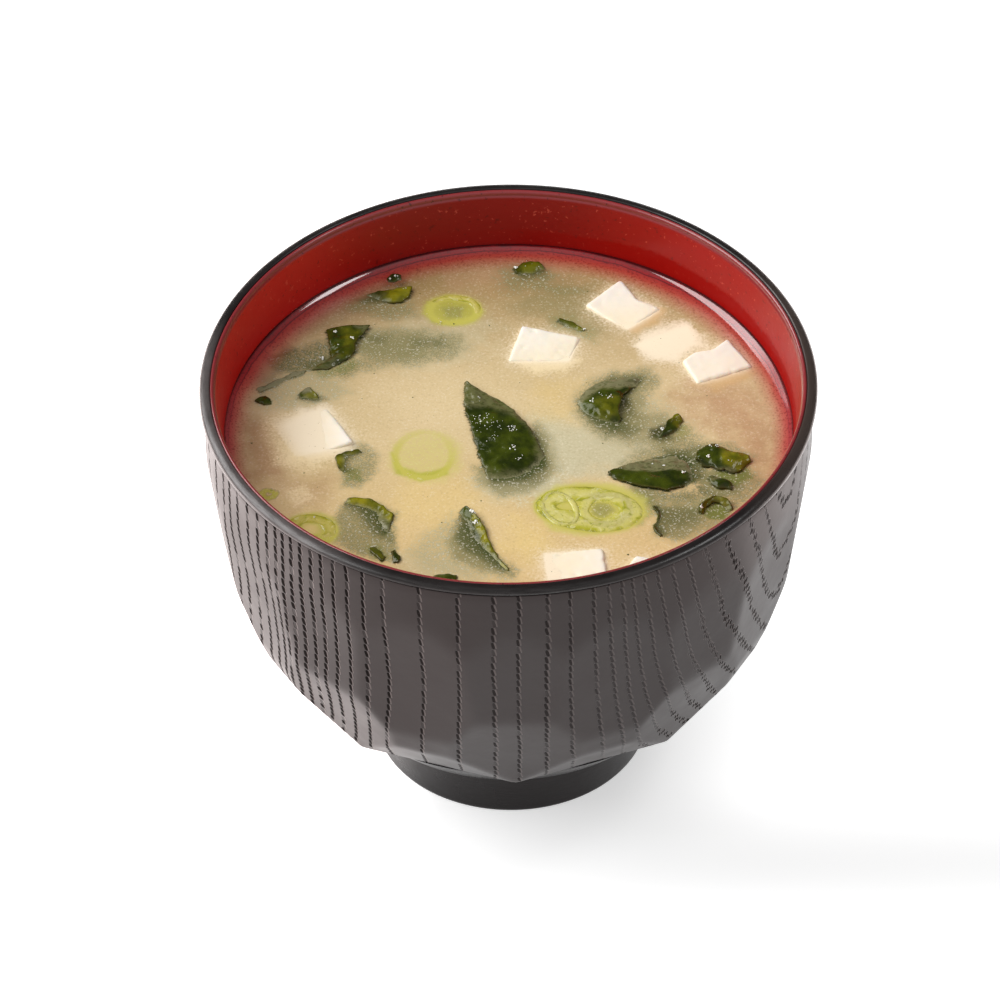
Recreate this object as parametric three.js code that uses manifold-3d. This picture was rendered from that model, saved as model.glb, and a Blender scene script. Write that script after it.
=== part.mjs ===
// Miso soup in its bowl: a tall lacquer bowl with a facet-cut body and a round foot, filled
// with broth in which tofu blocks, wakame leaves and spring-onion slices float.
// Millimetres, +Z up, +X right, the front is -Y. The origin is on the floor under the bowl's axis.
import * as THREE from 'three';
import { ConvexGeometry } from 'three/addons/geometries/ConvexGeometry.js';
import { mergeVertices } from 'three/addons/utils/BufferGeometryUtils.js';
import Module from 'manifold-3d';

const wasm = await Module();
wasm.setup();

// ---- driving dimensions ----
const BOWL_HEIGHT = 84;            // floor to the top of the lip
const RIM_RADIUS = 56;             // widest circle of the lip bead
const RIM_WIDEST_BELOW_TOP = 0.95; // how far that circle lies under the top
const BEAD_RADIUS = 1.6;           // half the width of the lip bead
const WALL_RADIUS = 55.2;          // plain round wall between the bead and the facets
const FOOT_RADIUS = 25.5;          // foot ring at the floor
const FOOT_TOP_RADIUS = 27;
const FOOT_HEIGHT = 10.5;
const FOOT_RECESS = 6;             // depth of the hollow under the foot
const FOOT_WALL = 4.2;
const LEVEL = 71;                  // surface of the broth
const GAP = 0.3;                   // air between pieces that touch
const LEAF_THICKNESS = 0.6;
const ROUND_SEGMENTS = 60;

// The body is cut by planes in 18 columns, 9 narrow and 9 wide in turn. Each plane is named by
// two points of its middle line, as [height, distance from the axis].
const COLUMN_PAIRS = 9;
const FACET_TURN = THREE.MathUtils.degToRad(0.8); // first narrow column, right of the front
const PAIR_ANGLE = 2 * Math.PI / COLUMN_PAIRS;
const NARROW_FOOT = [47.6, 52.1];  // lower edge of a narrow column
const WIDE_FOOT = [40.5, 50.4];    // lower edge of a wide column
const COLUMN_TOP = 69.6;
const NARROW_TOP = [COLUMN_TOP, 54.9];
const WIDE_TOP = [COLUMN_TOP, 54.85];
const BAND_TOP = [34.6, 48.2];     // upper edge of the steep band over the foot
const SKIRT_HEIGHT = 24.7;         // the nine-sided lower edge of the body
const SKIRT_CORNER = 43.4;
const SKIRT_SIDE = SKIRT_CORNER * Math.cos(PAIR_ANGLE / 2);

// ---- mesh helpers ----
function signedVolume(positions, triangles) {
  const a = new THREE.Vector3();
  const b = new THREE.Vector3();
  const c = new THREE.Vector3();
  let volume = 0;
  for (let i = 0; i < triangles.length; i += 3) {
    a.fromArray(positions, 3 * triangles[i]);
    b.fromArray(positions, 3 * triangles[i + 1]);
    c.fromArray(positions, 3 * triangles[i + 2]);
    volume += a.dot(b.cross(c)) / 6;
  }
  return volume;
}

// A closed geometry as a manifold solid, with merged corners and faces that point outwards.
function solid(geometry) {
  const bare = geometry.clone();
  bare.deleteAttribute('normal');
  bare.deleteAttribute('uv');
  const merged = mergeVertices(bare, 1e-4);
  const positions = merged.getAttribute('position').array;
  const index = merged.getIndex().array;
  const triangles = [];
  for (let i = 0; i < index.length; i += 3) {
    const [a, b, c] = [index[i], index[i + 1], index[i + 2]];
    if (a !== b && b !== c && c !== a) triangles.push(a, b, c);
  }
  if (signedVolume(positions, triangles) < 0) triangles.reverse();
  return new wasm.Manifold(new wasm.Mesh({
    numProp: 3,
    vertProperties: new Float32Array(positions),
    triVerts: new Uint32Array(triangles),
  }));
}

function geometryOf(manifold) {
  const mesh = manifold.getMesh();
  const geometry = new THREE.BufferGeometry();
  geometry.setAttribute('position', new THREE.BufferAttribute(mesh.vertProperties, 3));
  geometry.setIndex(new THREE.BufferAttribute(mesh.triVerts, 1));
  geometry.computeVertexNormals();
  return geometry;
}

// Turns a profile of [radius, height] pairs round the Z axis.
function turned(profile) {
  const points = profile.map(([radius, height]) => new THREE.Vector2(radius, height));
  return new THREE.LatheGeometry(points, ROUND_SEGMENTS).rotateX(Math.PI / 2);
}

// The quarter of an ellipse round [radius, height] from its outermost point up to its top.
function quarter([centreRadius, centreHeight], [across, up], steps) {
  const points = [];
  for (let i = 0; i <= steps; i++) {
    const angle = Math.PI / 2 * i / steps;
    points.push([centreRadius + across * Math.cos(angle), centreHeight + up * Math.sin(angle)]);
  }
  return points;
}

// ---- bowl ----
// A facet plane through two points of its middle line, facing `azimuth` (0 is the front).
function facetPlane(azimuth, [lowHeight, lowRadius], [highHeight, highRadius]) {
  const slope = (highRadius - lowRadius) / (highHeight - lowHeight);
  return {
    normal: new THREE.Vector3(Math.sin(azimuth), -Math.cos(azimuth), -slope),
    reach: lowRadius - slope * lowHeight,
  };
}

function meet(...planes) {
  const [p, q, r] = planes.map((plane) => plane.normal);
  const point = new THREE.Vector3();
  point.addScaledVector(q.clone().cross(r), planes[0].reach);
  point.addScaledVector(r.clone().cross(p), planes[1].reach);
  point.addScaledVector(p.clone().cross(q), planes[2].reach);
  return point.divideScalar(p.dot(q.clone().cross(r)));
}

const flatAt = (height) => ({ normal: new THREE.Vector3(0, 0, 1), reach: height });

// The solid that all the facet planes enclose, from the skirt to just above the lip.
function facetBlock() {
  const corners = [];
  for (let i = 0; i < COLUMN_PAIRS; i++) {
    const here = FACET_TURN + i * PAIR_ANGLE;
    const narrow = facetPlane(here, NARROW_FOOT, NARROW_TOP);
    const point = facetPlane(here, [SKIRT_HEIGHT, SKIRT_CORNER], NARROW_FOOT);
    for (const side of [-0.5, 0.5]) {
      const azimuth = here + side * PAIR_ANGLE;
      const wide = facetPlane(azimuth, WIDE_FOOT, WIDE_TOP);
      const small = facetPlane(azimuth, BAND_TOP, WIDE_FOOT);
      const band = facetPlane(azimuth, [SKIRT_HEIGHT, SKIRT_SIDE], BAND_TOP);
      corners.push(meet(narrow, wide, flatAt(BOWL_HEIGHT + 2)));
      corners.push(meet(narrow, wide, point));
      corners.push(meet(wide, small, point));
      corners.push(meet(small, band, point));
    }
    corners.push(new THREE.Vector3(
      SKIRT_CORNER * Math.sin(here), -SKIRT_CORNER * Math.cos(here), SKIRT_HEIGHT));
  }
  return new ConvexGeometry(corners);
}

// The inner wall, as [radius, height], from the bottom up to the lip.
const INSIDE = [
  [12, 13.6], [24, 17], [33, 22.4], [39.3, 28.9], [43.4, 35.4], [46.4, 42.5],
  [48.9, 51.5], [50.6, 61], [51.7, 72],
];

function bowlGeometry() {
  const beadHeight = BOWL_HEIGHT - RIM_WIDEST_BELOW_TOP;
  const round = solid(turned([
    [0, SKIRT_HEIGHT], [RIM_RADIUS, SKIRT_HEIGHT], [WALL_RADIUS, SKIRT_HEIGHT + 4],
    [WALL_RADIUS, beadHeight - 2.1],
    [WALL_RADIUS - 0.25, beadHeight - 1.7],
    [RIM_RADIUS - 0.3, beadHeight - 0.9],
    ...quarter([RIM_RADIUS - BEAD_RADIUS, beadHeight], [BEAD_RADIUS, RIM_WIDEST_BELOW_TOP], 4),
    [0, BOWL_HEIGHT],
  ]));
  const body = round.intersect(solid(facetBlock()));
  const base = solid(turned([
    [0, FOOT_RECESS], [FOOT_RADIUS - FOOT_WALL - 0.6, FOOT_RECESS], [FOOT_RADIUS - FOOT_WALL, 0],
    [FOOT_RADIUS - 0.6, 0], [FOOT_RADIUS, 0.7],
    [FOOT_TOP_RADIUS - 0.3, FOOT_HEIGHT - 1], [FOOT_TOP_RADIUS + 0.8, FOOT_HEIGHT + 0.4],
    [32.5, 15], [37.5, 20.8], [39.4, SKIRT_HEIGHT], [39.4, SKIRT_HEIGHT + 1],
    [0, SKIRT_HEIGHT + 1],
  ]));
  const hollow = solid(turned([
    [0, 13], ...INSIDE, [53.1, beadHeight - 0.8], [53.7, BOWL_HEIGHT - 0.15], [54.2, BOWL_HEIGHT + 2],
    [0, BOWL_HEIGHT + 2],
  ]));
  return geometryOf(body.add(base).subtract(hollow));
}

// ---- floating pieces: each function also makes the piece grown all round, for its pocket ----

// Tilts a solid by raising it with x and y, and sets it on the broth.
function place(geometry, [x, y], top, [slopeX, slopeY]) {
  const shear = new THREE.Matrix4().set(
    1, 0, 0, x,
    0, 1, 0, y,
    slopeX, slopeY, 1, LEVEL + top,
    0, 0, 0, 1);
  return geometry.applyMatrix4(shear);
}

function middle(outline) {
  const sum = outline.reduce(([sx, sy], [x, y]) => [sx + x, sy + y], [0, 0]);
  return sum.map((value) => value / outline.length);
}

// A block with a straight-sided outline and slightly rounded edges.
function blockGeometry({ outline, top, slope = [0, 0], depth }, grow = 0) {
  const rounding = 0.5;
  const [x, y] = middle(outline);
  const shape = new THREE.Shape(outline.map((corner) => new THREE.Vector2(corner[0] - x, corner[1] - y)));
  const block = new THREE.ExtrudeGeometry(shape, {
    depth: depth - 2 * rounding + 2 * grow,
    bevelThickness: rounding,
    bevelSize: rounding,
    bevelOffset: grow - rounding,
    bevelSegments: 1,
  }).translate(0, 0, -depth + rounding - grow);
  return place(block, [x, y], top, slope);
}

// A flat ring: a slice of one hollow onion layer.
function ringGeometry({ centre, size, wall, thick, top, slope = [0, 0], turn = 0 }, grow = 0) {
  const shape = new THREE.Shape();
  shape.absellipse(0, 0, size[0] + grow, size[1] + grow, 0, 2 * Math.PI);
  const hole = new THREE.Path();
  hole.absellipse(0, 0, size[0] - wall - grow, size[1] - wall - grow, 0, 2 * Math.PI);
  shape.holes.push(hole);
  const ring = new THREE.ExtrudeGeometry(shape, {
    depth: thick + 2 * grow,
    bevelEnabled: false,
    curveSegments: 11,
  }).translate(0, 0, -thick - grow).rotateZ(THREE.MathUtils.degToRad(turn));
  return place(ring, centre, top, slope);
}

// A thin wavy leaf between two edges. An edge is a list of [x, y, height over the broth].
function leafGeometry({ left, right, camber = 0.35, ripple = 0.12, along = 6, across = 2 }, grow = 0) {
  const curve = (edge) => new THREE.CatmullRomCurve3(
    edge.map(([x, y, height]) => new THREE.Vector3(x, y, LEVEL + height)));
  const leftCurve = curve(left);
  const rightCurve = curve(right);
  const half = LEAF_THICKNESS / 2 + grow;
  const positions = [];
  for (const side of [1, -1]) {
    for (let i = 0; i <= along; i++) {
      const u = i / along;
      const from = leftCurve.getPoint(u);
      const to = rightCurve.getPoint(u);
      const outwards = to.clone().sub(from).setZ(0).normalize().multiplyScalar(grow);
      const onwards = leftCurve.getTangent(u).add(rightCurve.getTangent(u)).setZ(0).normalize();
      onwards.multiplyScalar(i === 0 ? -grow : i === along ? grow : 0);
      from.sub(outwards).add(onwards);
      to.add(outwards).add(onwards);
      for (let j = 0; j <= across; j++) {
        const v = j / across;
        const point = from.clone().lerp(to, v);
        const bulge = camber * 4 * v * (1 - v) + ripple * Math.sin(9 * u + 4 * v);
        positions.push(point.x, point.y, point.z + bulge + side * half);
      }
    }
  }
  const row = across + 1;
  const under = row * (along + 1);
  const index = [];
  const quad = (a, b, c, d) => index.push(a, b, c, a, c, d);
  for (let i = 0; i < along; i++) {
    for (let j = 0; j < across; j++) {
      const a = i * row + j;
      quad(a, a + row, a + row + 1, a + 1);
      index.push(a + under, a + under + row + 1, a + under + row);
      index.push(a + under, a + under + 1, a + under + row + 1);
    }
    const left0 = i * row;
    const right0 = left0 + across;
    quad(left0, left0 + under, left0 + under + row, left0 + row);
    quad(right0, right0 + row, right0 + row + under, right0 + under);
  }
  const last = along * row;
  for (let j = 0; j < across; j++) {
    quad(j, j + 1, j + 1 + under, j + under);
    quad(last + j, last + j + under, last + j + 1 + under, last + j + 1);
  }
  const leaf = new THREE.BufferGeometry();
  leaf.setAttribute('position', new THREE.Float32BufferAttribute(positions, 3));
  leaf.setIndex(index);
  return leaf;
}

const TOFU = {
  left: { outline: [[-33.1, 7.9], [-43.6, 3.9], [-38.6, -6], [-28, -2.6]],
    top: -0.3, slope: [0.2, 0.02], depth: 9.5 },
  centre: { outline: [[2.5, 29.5], [13.6, 26.5], [11.5, 19.6], [-0.3, 19.8]],
    top: 0.5, slope: [-0.03, 0.09], depth: 9.5 },
  back: { outline: [[14.1, 35.2], [21.1, 42.2], [24.3, 36.7], [26.8, 35.8], [28.6, 34.3], [22, 28]],
    top: 0.6, slope: [-0.02, 0.1], depth: 9 },
  sunk: { outline: [[22.6, 24.3], [31, 29.3], [33.8, 30.2], [36.9, 24.4], [28, 19.6]],
    top: -0.75, slope: [-0.1, 0.17], depth: 8.5 },
  right: { outline: [[31.8, 19.3], [34.1, 21.8], [37.4, 22.4], [40.5, 25.4], [45.2, 17.6], [34.5, 13.1]],
    top: 0.75, slope: [0, 0.05], depth: 9 },
  front: { outline: [[5.6, -31.9], [16.8, -31], [17.9, -41.6], [6.7, -42.2]],
    top: 0.35, slope: [0.07, 0], depth: 9 },
  edge: { outline: [[22.5, -33.2], [30, -35.4], [27.2, -40.6], [19.6, -38.2]],
    top: 0.7, slope: [0, 0.05], depth: 7 },
};

const ONION = {
  back: [{ centre: [-10, 34.6], size: [5.3, 4.4], wall: 1.7, thick: 2, top: 0.1, slope: [0.03, 0.08] }],
  sunk: [{
    centre: [-15.4, -5.4], size: [5.9, 7], wall: 1.5, thick: 2, top: -0.45, slope: [-0.02, -0.1],
  }],
  big: [
    { centre: [14.3, -20.4], size: [10.2, 6.4], wall: 1.5, thick: 2.4, top: 0.4, turn: -10 },
    { centre: [9.1, -20.2], size: [3.4, 5.1], wall: 0.8, thick: 2.2, top: 0.5, turn: 22 },
    { centre: [17.4, -20.6], size: [5.2, 5.3], wall: 1.1, thick: 2.1, top: 0.3, turn: -10 },
  ],
  left: [{ centre: [-35.9, -25.6], size: [5.2, 4.6], wall: 1.9, thick: 2, top: 0.1, slope: [0.02, 0.03] }],
  bit: [{ centre: [-43.5, -15.7], size: [1.9, 1.5], wall: 0.7, thick: 1.2, top: 0.2 }],
};

const WAKAME = {
  centre: { along: 10, across: 4, camber: 0.5,
    left: [[-8.1, 13.8, 0.2], [-8.1, 7.2, 0.4], [-7, 1.1, 0.5], [-5.6, -5.8, 0.4], [-4.2, -11, -0.5],
      [-3, -14.6, -1.8]],
    right: [[-7.3, 13.7, 0.2], [-0.6, 7.8, 0.4], [3.2, 2.3, 0.6], [5.6, -3.4, 0.4], [7.2, -9, -0.7],
      [6, -14.2, -2]] },
  left_back: { across: 3, left: [[-33.6, 29.1, 0.4], [-32.9, 24.1, 0.3], [-33, 21, 0.1], [-36.2, 18.1, -0.1]],
    right: [[-25.5, 30, 0.6], [-27.8, 25.1, 0.6], [-28.8, 21.7, 0.3], [-33.1, 18.3, 0]] },
  film: { camber: 0.1, ripple: 0.05,
    left: [[-37.2, 18.2, 0.1], [-39.8, 17.2, 0.1], [-43.1, 14.9, 0.1], [-46.1, 12.9, 0.1]],
    right: [[-37.6, 16.8, -0.2], [-39.8, 15.8, -0.3], [-43.1, 13.5, -0.3], [-45.4, 11.8, -0.3]] },
  back_left: { left: [[-27, 39.1, -0.8], [-24, 39.8, 0.2], [-20, 40.4, 0.5], [-17.6, 40.8, 0.5]],
    right: [[-27, 38, -1.4], [-23.5, 37.3, -0.4], [-20.6, 36.4, 0.2], [-18.2, 37.8, 0.4]] },
  bit_back: { along: 4, camber: 0.2, ripple: 0.05,
    left: [[-22.5, 43.4, 0.2], [-21.1, 44.7, 0.4], [-19.8, 44.5, 0.2]],
    right: [[-22.1, 42.6, -0.3], [-20.9, 42.7, 0], [-19.5, 43.2, -0.2]] },
  back: { along: 6, left: [[1, 45.6, 0.2], [3.1, 47.4, 0.5], [6.2, 47.7, 0.4]],
    right: [[2.5, 43.9, -0.9], [4.9, 44.2, -0.8], [7.4, 45.4, -0.6]] },
  right: { along: 8, across: 3,
    left: [[21.7, 15, 0.2], [15.8, 12.9, 0.2], [12.9, 9.5, 0.1], [13.1, 6.3, -0.5], [16, 2.8, -1.2]],
    right: [[25, 14.6, -0.5], [21.6, 10.7, 0.5], [20.4, 6.8, 0.8], [20.5, 3.7, 0.4], [19.9, 1.4, -0.8]] },
  small_right: {
    left: [[30.7, 4.6, 0.5], [28.7, 2.1, 0.6], [27.9, -0.3, 0.4], [26.5, -1.4, -0.4]],
    right: [[31.5, 4.2, 0.2], [31.6, 2.6, -0.3], [30.9, 0.5, -0.8], [29.4, -1.6, -1.2]] },
  long_right: { along: 7, across: 3,
    left: [[17.8, -10.9, 0.3], [22.5, -8.5, 0.1], [26.5, -6.7, -0.2], [30, -5.4, -0.5], [32.4, -5, -0.8]],
    right: [[18.3, -12.2, 0.4], [22.1, -14.1, 0.4], [27.6, -16.1, 0.5], [31.4, -15.3, 0.4],
      [33.5, -14, 0.2]] },
  curl_right: { camber: 0.6, along: 7, across: 3,
    left: [[34, -8, 0.3], [34.7, -5.6, 0.7], [36.9, -4.1, 1], [40.1, -6, 0.8], [43.4, -7, 0.3]],
    right: [[34.8, -9.1, 0.1], [36.3, -9.9, 0.3], [39.1, -10.9, 0.4], [41.1, -11.2, 0.2],
      [43.6, -8.6, 0.1]] },
  fold_right: { along: 4,
    left: [[36, -12.3, 0.2], [38.1, -12.8, 0.4], [40.1, -14.1, 0.3]],
    right: [[36.3, -14.1, 0], [37.7, -15.3, 0.2], [40.2, -15.9, 0.1]] },
  arch_right: { camber: 0.2,
    left: [[33.8, -21.9, 0.4], [34.6, -20, 0.9], [37.1, -18.2, 1.2], [39.4, -19.3, 0.9],
      [40.2, -21.3, 0.2]],
    right: [[35.1, -22.1, 0], [35.8, -20.9, 0.1], [37.2, -20, 0.2], [38.3, -20.7, 0],
      [38.9, -21.8, -0.3]] },
  pale_right: { left: [[25.4, -19.6, 0.25], [26.7, -22.2, 0.3], [25.7, -26, 0.3], [27, -28.1, 0.15]],
    right: [[29.2, -19, -0.9], [31.8, -21.2, -1.4], [32, -24.4, -1.6], [30.8, -27, -1.4]] },
  small_left: { left: [[-27, -4, 0.2], [-30.6, -4.9, 0.3], [-31.4, -7.2, 0.3], [-30.3, -10, -0.2]],
    right: [[-26.4, -4.8, -0.5], [-28.5, -6.1, -0.7], [-28.8, -7.8, -0.8], [-28.1, -10.2, -0.8]] },
  front_left: { along: 8, across: 3,
    left: [[-28.9, -17, 0.2], [-24.9, -17.9, 0.4], [-21.3, -21, 0.4], [-21.4, -24.7, 0],
      [-22.7, -27.9, -0.8]],
    right: [[-30.2, -18.6, -0.5], [-28.2, -20.9, -0.9], [-26.8, -23.4, -1.2], [-26.3, -26, -1.4],
      [-26.1, -28.6, -1.7]] },
  front: { along: 8, across: 3,
    left: [[-8.7, -20.2, -0.3], [-9.9, -23.3, -1], [-10.6, -27, -1.5], [-7.6, -31, -1.6],
      [-3.1, -35, -1.4]],
    right: [[-7.6, -19.8, 0.6], [-5.3, -23.3, 0.7], [-4.1, -27.3, 0.4], [-2.6, -32, 0.3],
      [-0.2, -36.6, 0.1]] },
  dark_left: { along: 4, camber: 0.1, ripple: 0.04,
    left: [[-46.3, 9.8, 0.15], [-44.8, 11, 0.2], [-43.3, 10.2, 0.1]],
    right: [[-45.7, 8.9, 0], [-44.6, 8.7, 0], [-43.4, 8.9, 0]] },
  grey_left: { along: 4, camber: 0.1, ripple: 0.04,
    left: [[-38.6, 11.4, 0.1], [-36.5, 13.1, 0.2], [-34.8, 11.2, 0.1]],
    right: [[-37.9, 10, -0.3], [-36.1, 9.9, -0.3], [-34.8, 9.7, -0.2]] },
  lip: { along: 4, left: [[-13.8, -38.2, 0.1], [-11.9, -37.5, 0.3], [-9.3, -38.1, 0.1]],
    right: [[-13.2, -40, -0.3], [-11.5, -40.4, -0.1], [-9.8, -39.9, -0.2]] },
  shred: { along: 4, camber: 0.1, ripple: 0.04,
    left: [[9.4, 32.1, 0.15], [12.2, 30.4, 0.2], [14.3, 28.4, 0.1]],
    right: [[8.6, 31, -0.4], [10.8, 29.7, -0.5], [13, 28.4, -0.3]] },
  green_front: { along: 4, camber: 0.1, ripple: 0.04,
    left: [[-25.3, -30.4, 0.1], [-24.5, -32.2, 0.2], [-22.9, -33.9, 0.1]],
    right: [[-24.2, -29.9, -0.2], [-23.3, -31.2, 0], [-22, -32.8, -0.1]] },
  dark_front: { along: 4, camber: 0.1, ripple: 0.04,
    left: [[-20.4, -31, 0.15], [-19.7, -32.7, 0.2], [-20, -34.5, 0.15]],
    right: [[-21.4, -31, -0.2], [-21, -32.7, 0], [-21, -34.2, -0.1]] },
};

function onionSolid(rings, grow = 0) {
  return rings.map((ring) => solid(ringGeometry(ring, grow))).reduce((all, ring) => all.add(ring));
}

// ---- broth: fills the bowl up to its level, with a pocket round each floating piece ----
function brothGeometry() {
  const wetWall = INSIDE.filter(([, height]) => height < LEVEL);
  let broth = solid(turned([
    [0, 13 + GAP],
    ...wetWall.map(([radius, height]) => [radius - GAP, height + GAP]),
    [51.6 - GAP, LEVEL], [0, LEVEL],
  ]));
  for (const block of Object.values(TOFU)) broth = broth.subtract(solid(blockGeometry(block, GAP)));
  for (const leaf of Object.values(WAKAME)) broth = broth.subtract(solid(leafGeometry(leaf, 1.3 * GAP)));
  for (const rings of Object.values(ONION)) broth = broth.subtract(onionSolid(rings, GAP));
  return geometryOf(broth);
}

// ---- assembly ----
const BLACK_LACQUER = new THREE.MeshStandardMaterial({ color: 0x2b2625, roughness: 0.35, metalness: 0 });
const BROTH = new THREE.MeshStandardMaterial({ color: 0xcdb68a, roughness: 0.25, metalness: 0 });
const BEAN_CURD = new THREE.MeshStandardMaterial({ color: 0xfaf0e2, roughness: 0.5, metalness: 0 });
const SEAWEED = new THREE.MeshStandardMaterial({ color: 0x252d08, roughness: 0.3, metalness: 0 });
const SPRING_ONION = new THREE.MeshStandardMaterial({ color: 0xb9bb4a, roughness: 0.35, metalness: 0 });

const soup = new THREE.Group();

function addPiece(name, geometry, material) {
  const mesh = new THREE.Mesh(geometry, material);
  mesh.name = name;
  soup.add(mesh);
}

addPiece('bowl', bowlGeometry(), BLACK_LACQUER);
addPiece('broth', brothGeometry(), BROTH);
for (const [name, block] of Object.entries(TOFU)) {
  addPiece(`tofu_${name}`, geometryOf(solid(blockGeometry(block))), BEAN_CURD);
}
for (const [name, leaf] of Object.entries(WAKAME)) {
  addPiece(`wakame_${name}`, geometryOf(solid(leafGeometry(leaf))), SEAWEED);
}
for (const [name, rings] of Object.entries(ONION)) {
  addPiece(`onion_${name}`, geometryOf(onionSolid(rings)), SPRING_ONION);
}

export default soup;
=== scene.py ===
# Miso soup in a tall lacquer bowl: a facet-cut black body on a round foot, a red lining, cloudy
# broth, bean curd blocks, wakame leaves, spring-onion slices and grains of miso.
import math
import random

import bmesh
import bpy
from mathutils import Matrix, Vector, noise
from mathutils.bvhtree import BVHTree
from mathutils.kdtree import KDTree


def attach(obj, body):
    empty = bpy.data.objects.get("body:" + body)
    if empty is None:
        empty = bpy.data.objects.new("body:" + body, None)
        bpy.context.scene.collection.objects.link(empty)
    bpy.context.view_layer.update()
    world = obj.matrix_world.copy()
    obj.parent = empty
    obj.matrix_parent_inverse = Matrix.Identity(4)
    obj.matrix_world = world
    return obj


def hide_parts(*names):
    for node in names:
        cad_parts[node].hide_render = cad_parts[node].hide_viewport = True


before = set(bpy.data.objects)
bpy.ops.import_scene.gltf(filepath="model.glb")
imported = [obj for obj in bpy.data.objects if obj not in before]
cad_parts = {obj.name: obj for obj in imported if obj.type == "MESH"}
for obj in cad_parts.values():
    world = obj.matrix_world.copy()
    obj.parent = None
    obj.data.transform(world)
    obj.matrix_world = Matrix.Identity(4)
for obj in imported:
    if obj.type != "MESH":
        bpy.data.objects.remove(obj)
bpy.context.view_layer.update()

# ---- sizes in millimetres; +Z up, the front is -Y ----
LEVEL = 71.0
LIP_WIDEST = 83.05
WALL_RADIUS = 55.2
SKIRT = 24.7
SKIRT_CORNER = 43.4
MEET_RADIUS = 51.7
MEET_HEIGHT = 72.0
FRONT_RISE = 1.1
BODY_STEPS, FOOT_STEPS, LINING_STEPS = 432, 192, 216
LEAF_CELL = 0.42
MENISCUS = 1.4
PIECE_RISE = 0.14
HIGH_UP, DEEP_DOWN = 6, 18
PAIRS = 9
PAIR_ANGLE = 2 * math.pi / PAIRS
FIRST_NARROW = math.radians(0.8)
INSIDE = [(0, 13.6), (12, 13.6), (24, 17), (33, 22.4), (39.3, 28.9), (43.4, 35.4), (46.4, 42.5),
          (48.9, 51.5), (50.6, 61), (MEET_RADIUS, MEET_HEIGHT)]

random.seed(71)


# ---- making pieces ----
def turned(profile, steps, closed=True):
    """Spins [radius, height] pairs round the Z axis into a solid with outward faces."""
    bm = bmesh.new()
    verts = [bm.verts.new((radius, 0, height)) for radius, height in profile]
    ends = zip(verts, verts[1:] + verts[:1]) if closed else zip(verts, verts[1:])
    edges = [bm.edges.new(pair) for pair in ends]
    bmesh.ops.spin(bm, geom=verts + edges, cent=(0, 0, 0), axis=(0, 0, 1), angle=2 * math.pi,
                   steps=steps, use_merge=True)
    bmesh.ops.remove_doubles(bm, verts=bm.verts, dist=1e-4)
    bmesh.ops.recalc_face_normals(bm, faces=bm.faces)
    return bm


def baked(name, bm):
    mesh = bpy.data.meshes.new(name)
    bm.to_mesh(mesh)
    bm.free()
    return mesh


def put(name, data):
    made = bpy.data.objects.new(name, data)
    bpy.context.scene.collection.objects.link(made)
    return made


def piece(name, bm, materials, nodes):
    """Turns a millimetre bmesh into a named piece that stands for CAD nodes."""
    bmesh.ops.scale(bm, vec=(0.001, 0.001, 0.001), verts=bm.verts)
    mesh = baked(name, bm)
    mesh.shade_smooth()
    made = put(name, mesh)
    for material in materials:
        mesh.materials.append(material)
    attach(made, "root")
    if nodes:
        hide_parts(*nodes)
    return made


def modifier(made, kind, **settings):
    extra = made.modifiers.new(kind.lower(), kind)
    for key, value in settings.items():
        setattr(extra, key, value)


def lengthened(points):
    """Points as vectors, with one more beyond each end."""
    line = [Vector(p) for p in points]
    return [2 * line[0] - line[1]] + line + [2 * line[-1] - line[-2]]


def bent(a, b, c, d, t):
    """The point at share t of the Catmull-Rom span from b to c."""
    return 0.5 * (2 * b + (c - a) * t + (2 * a - 5 * b + 4 * c - d) * t * t
                  + (3 * b - a - 3 * c + d) * t ** 3)


def arc_between(points, per_span):
    """A smooth Catmull-Rom line through points, as a list of vectors."""
    line = lengthened(points)
    return [bent(*line[k:k + 4], i / per_span) for k in range(len(line) - 3)
            for i in range(per_span)] + [line[-2]]


def along(points, u):
    """The point at share u of a Catmull-Rom line."""
    spans = len(points) - 1
    k = min(int(u * spans), spans - 1)
    return bent(*lengthened(points)[k:k + 4], u * spans - k)


def smooth(low, high, value):
    t = min(max((value - low) / (high - low), 0.0), 1.0)
    return t * t * (3 - 2 * t)


def colour(*shown):
    """A colour from its 0 to 255 display values."""
    return tuple(((v / 255 + 0.055) / 1.055) ** 2.4 if v > 10 else v / 3294 for v in shown)


def points(text):
    """Reads "x y, x y" or "x y z, x y z" as a list of points."""
    return [tuple(float(word) for word in point.split()) for point in text.split(",")]


def blend(a, b, share):
    return tuple(x + (y - x) * share for x, y in zip(a, b))


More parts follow.
